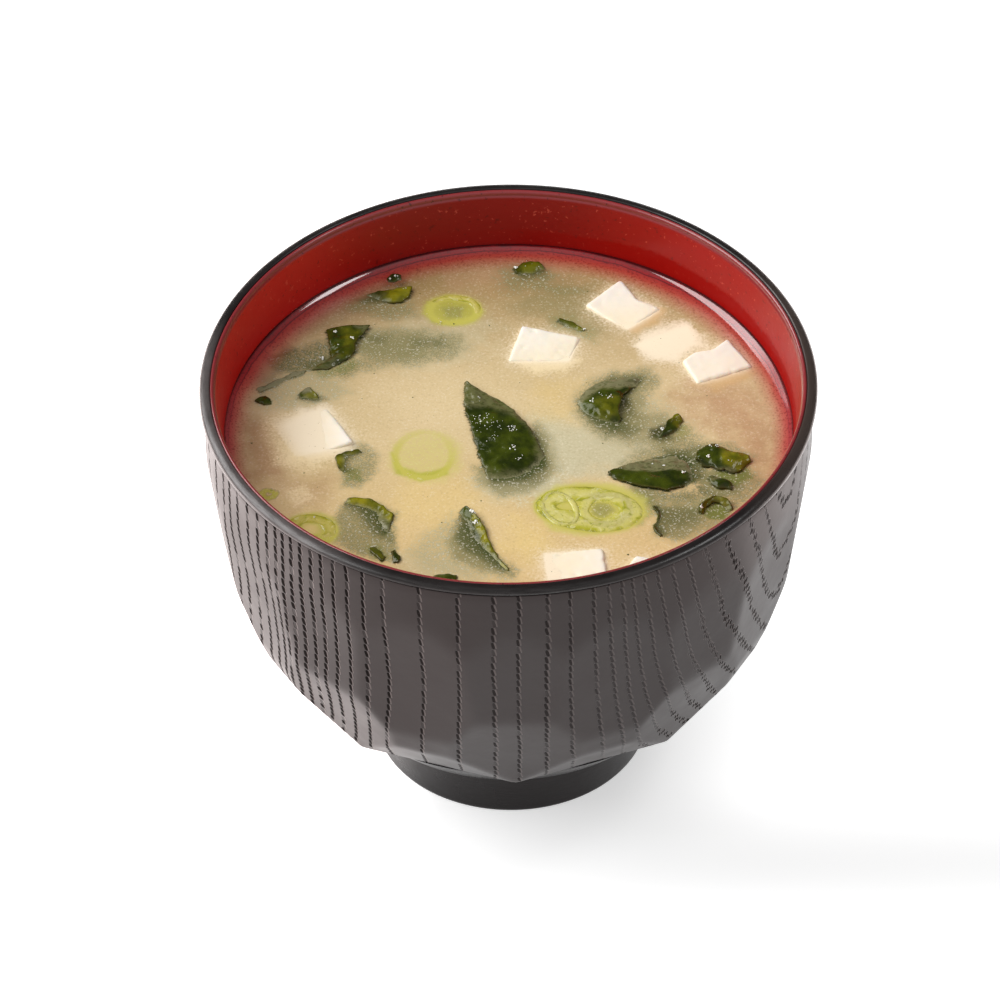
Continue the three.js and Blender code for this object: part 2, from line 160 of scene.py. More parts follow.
# ---- finishes ----
class Finish:
    """A material with a Principled BSDF, and short calls that add and join nodes."""

    def __init__(self, name=None, group=None):
        if group:
            self.tree = group
        else:
            self.material = bpy.data.materials.new(name)
            self.material.use_nodes = True
            self.tree = self.material.node_tree
            self.shader = self.tree.nodes["Principled BSDF"]

    def add(self, kind, inputs=None, **settings):
        node = self.tree.nodes.new("ShaderNode" + kind)
        for key, value in settings.items():
            setattr(node, key, value)
        for key, value in (inputs or {}).items():
            self.feed(node.inputs[key], value)
        return node

    def feed(self, socket, value):
        if isinstance(value, bpy.types.NodeSocket):
            self.tree.links.new(value, socket)
        elif socket.type == "RGBA" and len(value) == 3:
            socket.default_value = (*value, 1)
        else:
            socket.default_value = value

    def set(self, **sockets):
        for key, value in sockets.items():
            self.feed(self.shader.inputs[key.replace("_", " ")], value)

    def math(self, operation, first, *more, clamp=False):
        """One Math node for each value after the first, or one in all."""
        for value in more or [0.0]:
            first = self.add("Math", {0: first, 1: value}, operation=operation,
                             use_clamp=clamp).outputs[0]
        return first

    def plus(self, *values, clamp=False):
        return self.math("ADD", *values, clamp=clamp)

    def minus(self, *values, clamp=False):
        return self.math("SUBTRACT", *values, clamp=clamp)

    def times(self, *values, clamp=False):
        return self.math("MULTIPLY", *values, clamp=clamp)

    def over(self, *values):
        return self.math("DIVIDE", *values)

    def most(self, *values):
        return self.math("MAXIMUM", *values)

    def size_of(self, value):
        return self.math("ABSOLUTE", value)

    def swing(self, value, amount):
        """A 0 to 1 value as one that swings either way."""
        return self.times(self.minus(value, 0.5), amount)

    def azimuth(self, axis):
        """The angle from the front, in radians, positive to the right."""
        return self.math("ARCTAN2", axis["X"], self.times(axis["Y"], -1.0))

    def span(self, value, low, high, to_low=0.0, to_high=1.0, kind="SMOOTHSTEP"):
        node = self.add("MapRange", {"Value": value, "From Min": low, "From Max": high,
                                     "To Min": to_low, "To Max": to_high}, interpolation_type=kind)
        return node.outputs["Result"]

    def mix(self, share, a, b, kind="MIX"):
        node = self.add("Mix", {"Factor": share}, data_type="RGBA", blend_type=kind)
        self.feed(node.inputs[6], a)
        self.feed(node.inputs[7], b)
        return node.outputs[2]

    def place(self):
        return self.add("TexCoord").outputs["Object"]

    def noise(self, vector, scale, detail=3.0, roughness=0.55, distortion=0.0):
        node = self.add("TexNoise", {"Vector": vector, "Scale": scale, "Detail": detail,
                                     "Roughness": roughness, "Distortion": distortion})
        return node.outputs["Fac"]

    def relief(self, *layers):
        """Bumps over each other, each a height, a strength and a distance."""
        inputs = {}
        for height, strength, distance in layers:
            inputs.update(Height=height, Strength=strength, Distance=distance)
            inputs["Normal"] = self.add("Bump", inputs).outputs["Normal"]
        return inputs["Normal"]

    def ramp(self, share, stops):
        """A colour ramp; stops are [position, display colour] with or without a cover."""
        node = self.add("ValToRGB", {"Fac": share})
        elements = node.color_ramp.elements
        for stop in stops[1:-1]:
            elements.new(stop[0])
        for element, (position, tint, *cover) in zip(elements, stops):
            element.position = position
            element.color = (*colour(*tint), *(cover or [1]))
        return node.outputs

    def attribute(self, name, output="Fac"):
        return self.add("Attribute", attribute_name=name).outputs[output]

    def axes(self, vector):
        return self.add("SeparateXYZ", {"Vector": vector}).outputs

    def joined(self, x, y):
        return self.add("CombineXYZ", {"X": x, "Y": y}).outputs[0]

    def stretched(self, vector, factors):
        return self.add("VectorMath", {0: vector, 1: factors}, operation="MULTIPLY").outputs[0]


def new_group(name, inputs, outputs):
    group = bpy.data.node_groups.new(name, "ShaderNodeTree")
    for label, kind, value in inputs:
        socket = group.interface.new_socket(label, in_out="INPUT", socket_type=kind)
        if value is not None:
            socket.default_value = value
    for label, kind in outputs:
        group.interface.new_socket(label, in_out="OUTPUT", socket_type=kind)
    maker = Finish(group=group)
    source = group.nodes.new("NodeGroupInput").outputs
    target = group.nodes.new("NodeGroupOutput").inputs
    return group, maker, source, target


def use_group(maker, group, inputs):
    node = maker.add("Group")
    node.node_tree = group
    for key, value in inputs.items():
        maker.feed(node.inputs[key], value)
    return node.outputs


def mottle_group():
    """Soft large patches and fine grit in one, used by the lacquers, the broth and the food."""
    group, make, source, target = new_group(
        "mottle",
        [("Vector", "NodeSocketVector", None), ("Patch Scale", "NodeSocketFloat", 40.0),
         ("Grit Scale", "NodeSocketFloat", 900.0)],
        [("Patches", "NodeSocketFloat"), ("Grit", "NodeSocketFloat")])
    patches = make.noise(source["Vector"], source["Patch Scale"], 4.0, 0.55)
    grit = make.noise(source["Vector"], source["Grit Scale"], 2.0, 0.6)
    make.feed(target["Patches"], patches)
    make.feed(target["Grit"], grit)
    return group


MOTTLE = mottle_group()


def mottled(make, place, patch_scale, grit_scale):
    made = use_group(make, MOTTLE, {"Vector": place, "Patch Scale": patch_scale,
                                    "Grit Scale": grit_scale})
    return made["Patches"], made["Grit"]


def frayed(make, veil, grit, amount):
    """A cover that breaks up into grains where it is half clear."""
    room = make.times(veil, make.minus(1.0, veil), 4.0)
    return make.plus(veil, make.times(make.swing(grit, amount), room), clamp=True)


def ring_group():
    """Ring number of the wood at an arc length and a height, both in millimetres."""
    group, make, source, target = new_group(
        "wood rings", [("Arc", "NodeSocketFloat", 0.0), ("Height", "NodeSocketFloat", 0.0)],
        [("Ring", "NodeSocketFloat")])
    # arc length in millimetres from the front, and the ring that crosses there
    knots = [(-173.4, -24), (-76, -1), (-67.4, 0.6), (-61.4, 2.5), (-53.2, 4.8), (-48.1, 6.6),
             (-44.5, 8.4), (-39.1, 10.8), (-34.5, 12.7), (-27.2, 15), (-23.3, 16), (-16.5, 17),
             (-9.6, 18), (-3.4, 18.95), (1.1, 19.94), (5.9, 20.89), (9.8, 21.77), (14.4, 22.3),
             (17.3, 22.84), (20.2, 23.39), (22.4, 24.02), (25, 24.58), (27.9, 25.11), (30.8, 25.6),
             (33.7, 26.1), (39.5, 27.25), (43.9, 28.1), (47.4, 28.55), (51.9, 29.1), (57, 29.75),
             (62, 30.2), (74, 28.9), (92, 26), (116, 23.49), (173.4, 10.4)]
    reach, lowest, count = 174.0, -26.0, 64.0  # what the curve covers: arc to either side, rings
    share = make.over(make.plus(source["Arc"], reach), 2 * reach)
    node = make.add("FloatCurve", {"Value": share})
    curve = node.mapping.curves[0]
    while len(curve.points) > 2:
        curve.points.remove(curve.points[1])
    for end in (0, -1):
        curve.points[end].location = (-end, (knots[end][1] - lowest) / count)
    for arc, ring in knots[1:-1]:
        curve.points.new((arc + reach) / (2 * reach), (ring - lowest) / count)
    for point in curve.points:
        point.handle_type = "AUTO_CLAMPED"
    node.mapping.update()
    flat = make.plus(make.times(node.outputs[0], count), lowest)
    aside = make.minus(62.0, make.size_of(make.minus(source["Arc"], 62.0)))
    side = make.plus(make.span(aside, 7.0, 38.0, 0.0, 0.8), make.span(aside, 45.0, 62.0, 0.0, 0.2))
    lift = make.most(make.minus(source["Height"], 25.0), 0.0)
    fade = make.math("POWER", math.exp(-0.15), lift)
    lift = make.plus(make.over(lift, 13.3), make.minus(1.0, fade))
    make.feed(target["Ring"], make.plus(flat, make.times(lift, side)))
    return group


RINGS = ring_group()


def lacquered_wood():
    """Black-brown lacquer over wood: rows of short pores that follow the growth rings."""
    make = Finish("black lacquer, wood grain")
    place = make.place()
    axis = make.axes(place)
    turn = make.azimuth(axis)
    height = make.times(axis["Z"], 1000.0)
    # the wall's radius, for arc lengths: it falls off below curve_top
    curve_top, curve_height, curve_depth = 70.0, 46.0, 12.5
    drop = make.most(make.over(make.minus(curve_top, height), curve_height), 0.0)
    girth = make.minus(WALL_RADIUS, make.times(make.math("POWER", drop, 2.0), curve_depth))
    behind = make.span(make.size_of(turn), 1.6, 2.7)
    girth = make.plus(girth, make.times(behind, make.minus(WALL_RADIUS, girth)))
    arc = make.times(turn, girth)
    wander = make.stretched(make.joined(arc, height), (0.05, 0.028, 0))
    arc = make.plus(arc, make.swing(make.noise(wander, 1.0, 3.0, 0.5), 2.0))
    pore_wide, pore_long, lean = 0.50, 1.8, 0.20
    dash_step, golden, probe = 1.85, 0.618, 0.3

    def rings(at, up):
        return use_group(make, RINGS, {"Arc": at, "Height": up})["Ring"]

    def slopes(at, up, ring):
        near = rings(make.plus(at, probe), up), rings(at, make.plus(up, probe))
        return [make.size_of(make.over(make.minus(there, ring), probe)) for there in near]

    # where the rings run up the wall: one row of leaning dashes on each ring
    here = rings(arc, height)
    steep, rise = slopes(arc, height, here)
    row = make.math("ROUND", here)
    aside = make.over(make.minus(here, row), make.most(steep, 0.04))
    step = make.plus(make.over(height, dash_step), make.times(row, golden))
    dash = make.math("FLOOR", step)
    part = make.minus(step, dash, 0.5)
    chance = make.add("TexWhiteNoise", {"Vector": make.joined(row, dash)},
                      noise_dimensions="2D").outputs["Value"]
    aside = make.plus(aside, make.times(part, 0.34), make.swing(chance, 0.16))
    ends = make.math("POWER", make.size_of(make.over(part, 0.47)), 4.0)

    def slot_at(offset, wide):
        across_it = make.math("POWER", make.over(make.minus(aside, offset), wide), 2.0)
        return make.span(make.plus(across_it, ends), 0.5, 1.3, 1.0, 0.0)

    dashes = make.times(slot_at(0.0, make.span(turn, -0.9, -0.3, 0.48, 0.27)),
                        make.span(chance, 0.04, 0.3, 0.35, 1.0),
                        make.span(turn, -0.6, 0.0, 1.0, 0.74),
                        make.span(turn, 0.1, 0.45, 1.0, 0.62))
    # a painted highlight line beside each dash
    highlight_ledge = make.times(slot_at(0.4, 0.15), make.span(turn, -0.5, 0.3, 1.0, 0.4))
    # where they run across it: strokes side by side
    across = make.over(make.minus(arc, make.times(height, lean)), pore_wide)
    cells = make.joined(across, make.over(height, pore_long))
    pores = make.add("TexVoronoi", {"Vector": cells, "Scale": 1.0, "Randomness": 0.4},
                     voronoi_dimensions="2D", feature="F1")
    centre = make.axes(pores.outputs["Position"])
    centre_height = make.times(centre["Y"], pore_long)
    centre_arc = make.plus(make.times(centre["X"], pore_wide), make.times(centre_height, lean))
    ring = rings(centre_arc, centre_height)
    steep_there, rise_there = slopes(centre_arc, centre_height, ring)
    off = make.size_of(make.minus(ring, make.math("ROUND", ring)))
    room = make.plus(make.times(steep_there, pore_wide * 0.54),
                     make.times(rise_there, pore_long * 0.5))
    stands = make.math("LESS_THAN", off, room)
    hollow = make.span(pores.outputs["Distance"], 0.26, 0.46, 1.0, 0.0)
    highlight_brim = make.minus(make.span(pores.outputs["Distance"], 0.38, 0.56, 1.0, 0.0), hollow,
                      clamp=True)
    sideways = make.span(make.over(rise, make.most(steep, 0.02)), 0.22, 0.38)

    def either(stroke, mark):
        """Strokes where the rings run across the wall, dashes where they run up it."""
        return make.plus(make.times(stroke, stands, sideways),
                         make.times(mark, make.minus(1.0, sideways)), clamp=True)

    pore, highlight_brim = either(hollow, dashes), either(highlight_brim, highlight_ledge)
    patches, grit = mottled(make, place, 60.0, 1500.0)
    shade = make.mix(patches, colour(23, 17, 16), colour(35, 27, 26))
    shade = make.mix(pore, shade, colour(19, 15, 14))
    # painted highlight: a light edge beside each pore and dash, also raised a little in the bump
    shade = make.mix(make.times(highlight_brim, 0.45), shade, colour(120, 108, 105))
    height_of = make.minus(make.times(highlight_brim, 0.35), pore)
    relief = make.relief((height_of, 1.0, 0.00018), (patches, 0.25, 0.0006), (grit, 0.12, 0.00003))
    open_wood = make.minus(1.0, pore, clamp=True)
    make.set(Base_Color=shade, Normal=relief, Coat_Weight=make.times(open_wood, 0.20),
             Specular_IOR_Level=make.plus(make.times(open_wood, 0.17), 0.04),
             Roughness=make.most(make.span(patches, 0.3, 0.7, 0.34, 0.46), make.times(pore, 0.8)),
             Specular_Tint=(1.0, 0.84, 0.82), Coat_Roughness=0.36, Coat_Normal=relief)
    return make.material


def plain_lacquer():
    """Satin black lacquer, glossiest on the lip, with brush waves, painted highlights and a painted
    red reflection.
    """
    make = Finish("black lacquer, smooth")
    place = make.place()
    patches, grit = mottled(make, place, 90.0, 1400.0)
    axis = make.axes(place)
    height, turn = axis["Z"], make.azimuth(axis)
    around = make.joined(make.times(turn, 9.0), make.times(height, 3200.0))
    streaks = make.noise(around, 1.0, 7.0, 0.75)
    shade = make.mix(patches, colour(16, 11, 11), colour(25, 19, 19))
    lip = make.mix(streaks, colour(10, 8, 8), colour(38, 32, 31))
    # painted reflection of the red lining on the lip at the right
    red_reflection_side = make.span(axis["X"], 0.040, 0.054)
    lip = make.mix(make.times(red_reflection_side, 0.7), lip, colour(72, 60, 54))
    # painted highlight on the lip at the left front, following the brush waves
    highlight_side = make.span(make.size_of(make.plus(turn, 1.2)), 0.4, 0.75, 0.48, 0.0)
    lip = make.mix(make.times(highlight_side, streaks), lip, colour(150, 140, 138))
    shade = make.mix(make.span(height, 0.0822, 0.083), shade, lip)
    # painted highlight: a thin light line low on the lip, strongest at the right front, also made
    # glossier
    line = make.size_of(make.minus(height, 0.08265))
    line = make.times(make.span(line, 0.00010, 0.00022, 1.0, 0.0),
                      make.span(turn, 0.05, 0.4, 0.1, 1.0))
    shade = make.mix(make.times(line, 0.8), shade, colour(150, 141, 139))
    relief = make.relief((patches, 0.2, 0.0005), (streaks, 0.35, 0.0001), (grit, 0.15, 0.00004))
    gloss = make.most(make.span(height, 0.0827, 0.0835, 0.0, 0.9), line)
    groove = make.minus(make.span(height, 0.0795, 0.081), make.span(height, 0.0824, 0.0831))
    make.set(Base_Color=shade, Normal=relief, Roughness=make.span(patches, 0.3, 0.7, 0.24, 0.36),
             Specular_IOR_Level=make.minus(0.14, make.times(groove, 0.1)),
             Coat_Weight=make.times(gloss, make.span(streaks, 0.35, 0.6, 0.4, 1.0)),
             Coat_Roughness=0.24)
    return make.material


def red_lacquer():
    """Deep red lacquer with small dust specks and uneven gloss, darker above the broth; painted
    light and shade.
    """
    make = Finish("red lacquer")
    place = make.place()
    patches, grit = mottled(make, place, 70.0, 1100.0)
    axis = make.axes(place)
    height = axis["Z"]
    shade = make.mix(patches, colour(154, 12, 8), colour(172, 19, 13))
    # painted light: the left side of the lining is lighter
    shade = make.mix(make.span(axis["X"], -0.015, -0.045, 0.0, 0.8), shade, colour(200, 26, 18))
    # painted shade: the back of the lining is darker
    behind = make.times(make.span(axis["Y"], 0.036, 0.054),
                        make.span(axis["X"], 0.008, 0.034, 0.6, 0.0))
    shade = make.mix(behind, shade, colour(120, 6, 4))
    specks = make.span(grit, 0.64, 0.70)
    shade = make.mix(make.times(specks, 0.5), shade, colour(84, 6, 6))
    shade = make.mix(make.span(grit, 0.35, 0.30, 0.0, 0.4), shade, colour(224, 96, 76))
    # a darker, less shiny band on the wall just above the broth, most at the right
    band_top = make.plus(height, make.swing(patches, 0.003), make.swing(grit, 0.0012))
    near_broth = make.times(make.span(band_top, 0.0752, 0.0762, 1.0, 0.0),
                     make.span(axis["X"], -0.01, 0.03, 0.08, 0.85))
    shade = make.mix(near_broth, shade, colour(154, 11, 6))
    # painted shade where the broth meets the wall
    line = make.span(height, 0.0720, 0.0729, 1.0, 0.0)
    shade = make.mix(make.times(line, 0.6), shade, colour(80, 6, 10))
    ridge = make.span(height, 0.0822, 0.0828)
    shade = make.mix(ridge, shade, make.mix(specks, colour(140, 38, 42), colour(90, 16, 20)))
    relief = make.relief((patches, 0.25, 0.0008), (grit, 0.3, 0.00005))
    make.set(Base_Color=shade, Normal=relief, Roughness=make.span(patches, 0.3, 0.7, 0.28, 0.42),
             Coat_Weight=ridge, Specular_IOR_Level=make.minus(0.3, make.times(near_broth, 0.27)),
             Coat_Roughness=0.12)
    return make.material


def miso_broth():
    """Cloudy broth: its colour, painted shade and reflection, and what shows through from below are
    painted on the surface.
    """
    make = Finish("miso broth")
    place = make.place()
    own = make.attribute("shade", "Color")
    sunk = make.add("Attribute", attribute_name="sunk").outputs
    grain = make.attribute("grain")
    patches, grit = mottled(make, place, 55.0, 2300.0)
    swirl = make.noise(place, 30.0, 6.0, 0.62, 1.2)
    body = make.mix(make.span(swirl, 0.36, 0.66), own,
                    make.mix(1.0, own, (0.92, 0.90, 0.85), "MULTIPLY"))
    veil = frayed(make, sunk["Alpha"], grit, make.times(grain, 4.0))
    shade = make.mix(veil, body, sunk["Color"])
    pale = make.times(make.span(grit, 0.56, 0.68), make.times(grain, 0.44))
    shade = make.mix(pale, shade, colour(250, 240, 218))
    dark = make.times(make.span(grit, 0.44, 0.32), make.times(grain, 0.30))
    shade = make.mix(dark, shade, colour(120, 98, 62))
    # painted shade and reflection next to the wall: a dark contact line, a second thin dark line,
    # then a red band that is a painted reflection of the red wall and partly the wall seen through
    # the thin broth
    axis = make.axes(place)
    flat = make.joined(axis["X"], axis["Y"])
    radius = make.add("VectorMath", {0: flat}, operation="LENGTH").outputs["Value"]
    wall = make.plus(make.minus(MEET_RADIUS + 0.08, make.times(radius, 1000.0)),
                     make.swing(make.noise(place, 150.0, 4.0, 0.6), 0.9))
    back = make.over(axis["Y"], make.most(radius, 0.001))
    near = make.times(wall, make.span(back, -0.2, 0.6, 1.5, 1.0))
    stops = [(0.0, (58, 8, 14), 1), (0.035, (70, 10, 16), 1), (0.07, (140, 16, 24), 1),
             (0.15, (160, 22, 28), 1),
             (0.172, (84, 10, 18), 1), (0.20, (170, 28, 32), 0.96), (0.36, (182, 46, 46), 0.84),
             (0.58, (184, 84, 70), 0.5), (0.92, (186, 120, 90), 0.0)]
    band = make.ramp(make.over(near, 6.6), stops)
    behind = make.span(back, -0.55, -0.05, 0.35, 1.0)
    wall_shade_and_reflection = make.times(band["Alpha"], behind)
    aside = make.mix(make.span(back, 0.0, 0.5, 0.5, 0.0), band["Color"], colour(176, 84, 84))
    shade = make.mix(wall_shade_and_reflection, shade, aside)
    dots = make.times(make.span(grit, 0.47, 0.36), make.times(wall_shade_and_reflection, 0.5))
    shade = make.mix(dots, shade, colour(84, 10, 18))
    relief = make.relief((patches, 0.08, 0.0006), (grit, 0.10, 0.00003))
    make.set(Base_Color=shade, Normal=relief, Roughness=0.09,
             Coat_Weight=make.times(make.span(wall, 2.5, 6.0, 1.0, 0.0),
                                    make.span(axis["Y"], 0.013, 0.026)),
             IOR=1.34, Coat_Roughness=0.05, Coat_IOR=1.66)
    return make.material


def bean_curd():
    """Soft white curd with small pores, warmer towards the broth."""
    make = Finish("bean curd")
    place = make.place()
    patches, grit = mottled(make, place, 160.0, 1100.0)
    height = make.axes(place)["Z"]
    shade = make.mix(patches, colour(247, 236, 218), colour(254, 248, 238))
    near_broth = make.span(height, 0.0709, 0.0720, 1.0, 0.0)
    shade = make.mix(near_broth, shade, colour(254, 238, 208))
    relief = make.relief((patches, 0.15, 0.0005), (grit, 0.2, 0.00006))
    make.set(Base_Color=shade, Normal=relief, Roughness=make.span(patches, 0.3, 0.7, 0.4, 0.55),
             Subsurface_Weight=0.25, Subsurface_Radius=(0.6, 0.45, 0.3),
             Subsurface_Scale=0.002)
    return make.material


def wakame_leaf():
    """Wet seaweed: deep green with blisters and veins, olive where light comes through it."""
    make = Finish("wakame")
    place = make.place()
    rim, veil, lit, film = (make.attribute(name) for name in ("rim", "veil", "lit", "film"))
    patches, grit = mottled(make, place, 260.0, 3200.0)
    blister = make.add("TexVoronoi", {"Vector": place, "Scale": 700.0, "Randomness": 1.0},
                       feature="SMOOTH_F1")
    shade = make.mix(make.span(patches, 0.35, 0.65), colour(32, 42, 2), colour(62, 72, 5))
    through = make.mix(make.span(patches, 0.35, 0.65), colour(92, 94, 8), colour(150, 142, 26))
    shade = make.mix(lit, shade, through)
    thin = make.span(make.plus(rim, make.times(patches, 0.5)), 0.35, 0.8, 1.0, 0.0)
    shade = make.mix(make.times(thin, 0.55), shade, colour(70, 66, 14))
    # a painted sheen of reflected light and a film of broth grey some parts, broken by the dark
    # veins that stand out of it
    veins = make.noise(make.stretched(place, (1.0, 1.9, 1.0)), 900.0, 2.0, 0.5, 0.8)
    pale = make.mix(make.span(film, 1.0, 2.0), colour(112, 110, 72), colour(166, 158, 132))
    film = make.times(film, make.span(veins, 0.60, 0.52, 0.45, 1.0), clamp=True)
    shade = make.mix(film, shade, pale)
    shade = make.mix(frayed(make, veil, grit, 1.44), shade, colour(150, 146, 112))
    relief = make.relief((blister.outputs["Distance"], 0.45, 0.0004), (patches, 0.5, 0.0007),
                         (grit, 0.25, 0.00006))
    make.set(Base_Color=shade, Normal=relief, Roughness=make.span(patches, 0.3, 0.7, 0.14, 0.3),
             Coat_Weight=0.3,
             Specular_IOR_Level=0.2, Specular_Tint=(1.0, 0.97, 0.72), Coat_Roughness=0.05,
             Coat_Normal=relief)
    return make.material


def spring_onion():
    """Sliced onion layers: bright green skin lines, pale flesh and fine strands across."""
    make = Finish("spring onion")
    place = make.place()
    side, tone, veil = (make.attribute(name) for name in ("across", "tone", "veil"))
    patches, grit = mottled(make, place, 300.0, 1800.0)
    stops = [(0.0, (146, 146, 30)), (0.12, (182, 180, 54)), (0.3, (210, 203, 112)),
             (0.62, (218, 210, 132)),
             (0.85, (194, 190, 72)), (1.0, (158, 160, 38))]
    layer = make.ramp(make.plus(side, make.swing(patches, 0.9)), stops)["Color"]
    shade = make.mix(tone, layer, make.mix(1.0, layer, (0.80, 0.74, 0.45), "MULTIPLY"))
    strands = make.noise(place, 620.0, 4.0, 0.65, 1.5)
    shade = make.mix(make.span(strands, 0.55, 0.68, 0.0, 0.55), shade, colour(140, 146, 30))
    shade = make.mix(make.span(strands, 0.46, 0.34, 0.0, 0.6), shade, colour(226, 222, 160))
    shade = make.mix(frayed(make, veil, grit, 0.9), shade, colour(214, 196, 146))
    relief = make.relief((patches, 0.4, 0.0005))
    make.set(Base_Color=shade, Normal=relief, Roughness=0.22, Subsurface_Weight=0.2,
             Subsurface_Radius=(0.6, 0.6, 0.2), Coat_Weight=0.4,
             Subsurface_Scale=0.001, Coat_Roughness=0.1)
    return make.material


def grain_finish(name, light, deep):
    """A grain or crumb that is a little lighter on some of its sides."""
    make = Finish(name)
    patches, grit = mottled(make, make.place(), 700.0, 3000.0)
    make.set(Base_Color=make.mix(patches, deep, light), Roughness=0.3,
             Normal=make.relief((grit, 0.3, 0.00005)))
    return make.material


WOOD = lacquered_wood()
BLACK = plain_lacquer()
RED = red_lacquer()
BROTH = miso_broth()
CURD = bean_curd()
WAKAME = wakame_leaf()
ONION = spring_onion()
MISO_GRAIN = grain_finish("miso grain", colour(234, 218, 180), colour(198, 174, 126))
GREEN_CRUMB = grain_finish("green crumb", colour(110, 120, 40), colour(44, 52, 14))
# white beads that stand in for glints: painted highlights
GLINT_BEAD = grain_finish("glint bead", colour(255, 255, 250), colour(236, 238, 226))


# ---- camera, floor and light ----
LENS, SENSOR = 298.31, 36
EYE_AT = (0, -1.125126, 1.075098)
FLOOR_RADIUS = 6.0


def studio():
    lens = bpy.data.cameras.new("camera")
    lens.sensor_width, lens.lens, lens.clip_start, lens.clip_end = SENSOR, LENS, 0.05, 20
    eye = put("camera", lens)
    right, up, forward = (Vector(v) for v in ((0.99996, -0.00548, -0.00774),
                                              (0.00941, 0.6717, 0.74076),
                                              (-0.00114, 0.7408, -0.67172)))
    turn = Matrix((right, up, -forward)).transposed()
    eye.matrix_world = Matrix.Translation(EYE_AT) @ turn.to_4x4()
    bpy.context.scene.camera = eye

    floor = Finish("white floor")
    spot = floor.axes(floor.place())

    def painted_light_at(across, along_it):
        return floor.times(floor.span(spot["X"], *across), floor.span(spot["Y"], *along_it))

    # painted light: the floor glows, more at the left and right and in a pool beside and in front
    # of the foot that lifts the bowl's shadow; the glow is warmer at the sides
    painted_light_pool = floor.most(painted_light_at((0.018, 0.054), (-0.042, -0.016)),
                      floor.span(spot["Y"], -0.042, -0.072))
    far_left = painted_light_at((-0.125, -0.065, 2.6, 0.0), (-0.078, -0.055))
    near_left = painted_light_at((-0.031, -0.013, 1.1, 0.0), (-0.040, -0.025))
    far_right = painted_light_at((0.095, 0.135), (-0.05, -0.03))
    glow = floor.plus(floor.times(painted_light_pool, 0.34), 0.50, floor.most(far_left, near_left), far_right)
    warm_light_tint = floor.most(floor.span(spot["X"], 0.085, 0.13), floor.span(spot["X"], -0.012, -0.036))
    warm_light_tint = floor.mix(warm_light_tint, (1, 1, 1), (1, 0.87, 0.84))
    floor.set(Base_Color=(0.85, 0.85, 0.85), Roughness=0.9, Emission_Color=warm_light_tint,
              Emission_Strength=glow)
    bm = bmesh.new()
    bmesh.ops.create_circle(bm, cap_ends=True, segments=64, radius=FLOOR_RADIUS)
    ground = put("floor", baked("floor", bm))
    ground.data.materials.append(floor.material)

    def softbox(name, at, size, power, aim=(0, 0, 0.06)):
        light = bpy.data.lights.new(name, "AREA")
        light.shape, light.size, light.size_y, light.energy = "RECTANGLE", size[0], size[1], power
        lamp = put(name, light)
        lamp.location = at
        lamp.rotation_euler = (Vector(aim) - Vector(at)).to_track_quat("-Z", "Y").to_euler()

    softbox("window left", (-1.22, 0.3, 1.1), (2.0, 1.2), 34.8)
    softbox("window right", (0.85, 0.05, 1.3), (0.45, 0.3), 2.7)
    world = bpy.data.worlds.new("studio")
    world.use_nodes = True
    room = Finish(group=world.node_tree)
    way = room.axes(room.add("TexCoord").outputs["Generated"])["Y"]
    backdrop = world.node_tree.nodes["Background"].inputs
    backdrop["Color"].default_value = (1, 1, 1, 1)
    room.feed(backdrop["Strength"], room.span(way, -0.5, 0.55, 0.56, 0.12))
    bpy.context.scene.world = world
    bpy.context.scene.view_settings.view_transform = "Standard"


studio()


# ---- bowl ----
def facet_planes():
    """Azimuth of each flat of the wall and two [height, radius] points that its middle meets."""
    side = SKIRT_CORNER * math.cos(PAIR_ANGLE / 2)
    out = []
    for i in range(PAIRS):
        here = FIRST_NARROW + i * PAIR_ANGLE
        aside = here + PAIR_ANGLE / 2
        out += [(here, (47.6, 52.1), (69.6, 54.9)), (aside, (40.5, 50.4), (69.6, 54.85)),
                (here, (SKIRT, SKIRT_CORNER), (47.6, 52.1)), (aside, (34.6, 48.2), (40.5, 50.4)),
                (aside, (SKIRT, side), (34.6, 48.2))]
    return out


FLATS = facet_planes()


def wall_at(azimuth, height):
    """Radius of the outer wall: the nearest of the flats and the round, softly joined."""
    soft = 0.06 + 0.10 * smooth(28, 52, height)
    near = [WALL_RADIUS]
    for turn, low, high in FLATS:
        share = math.cos(azimuth - turn)
        if share > 0.6:
            radius = low[1] + (high[1] - low[1]) / (high[0] - low[0]) * (height - low[0])
            near.append(radius / share)
    least = min(near)
    felt = [radius for radius in near if radius - least < soft * 12]
    return least - soft * math.log(sum(math.exp((least - radius) / soft) for radius in felt))


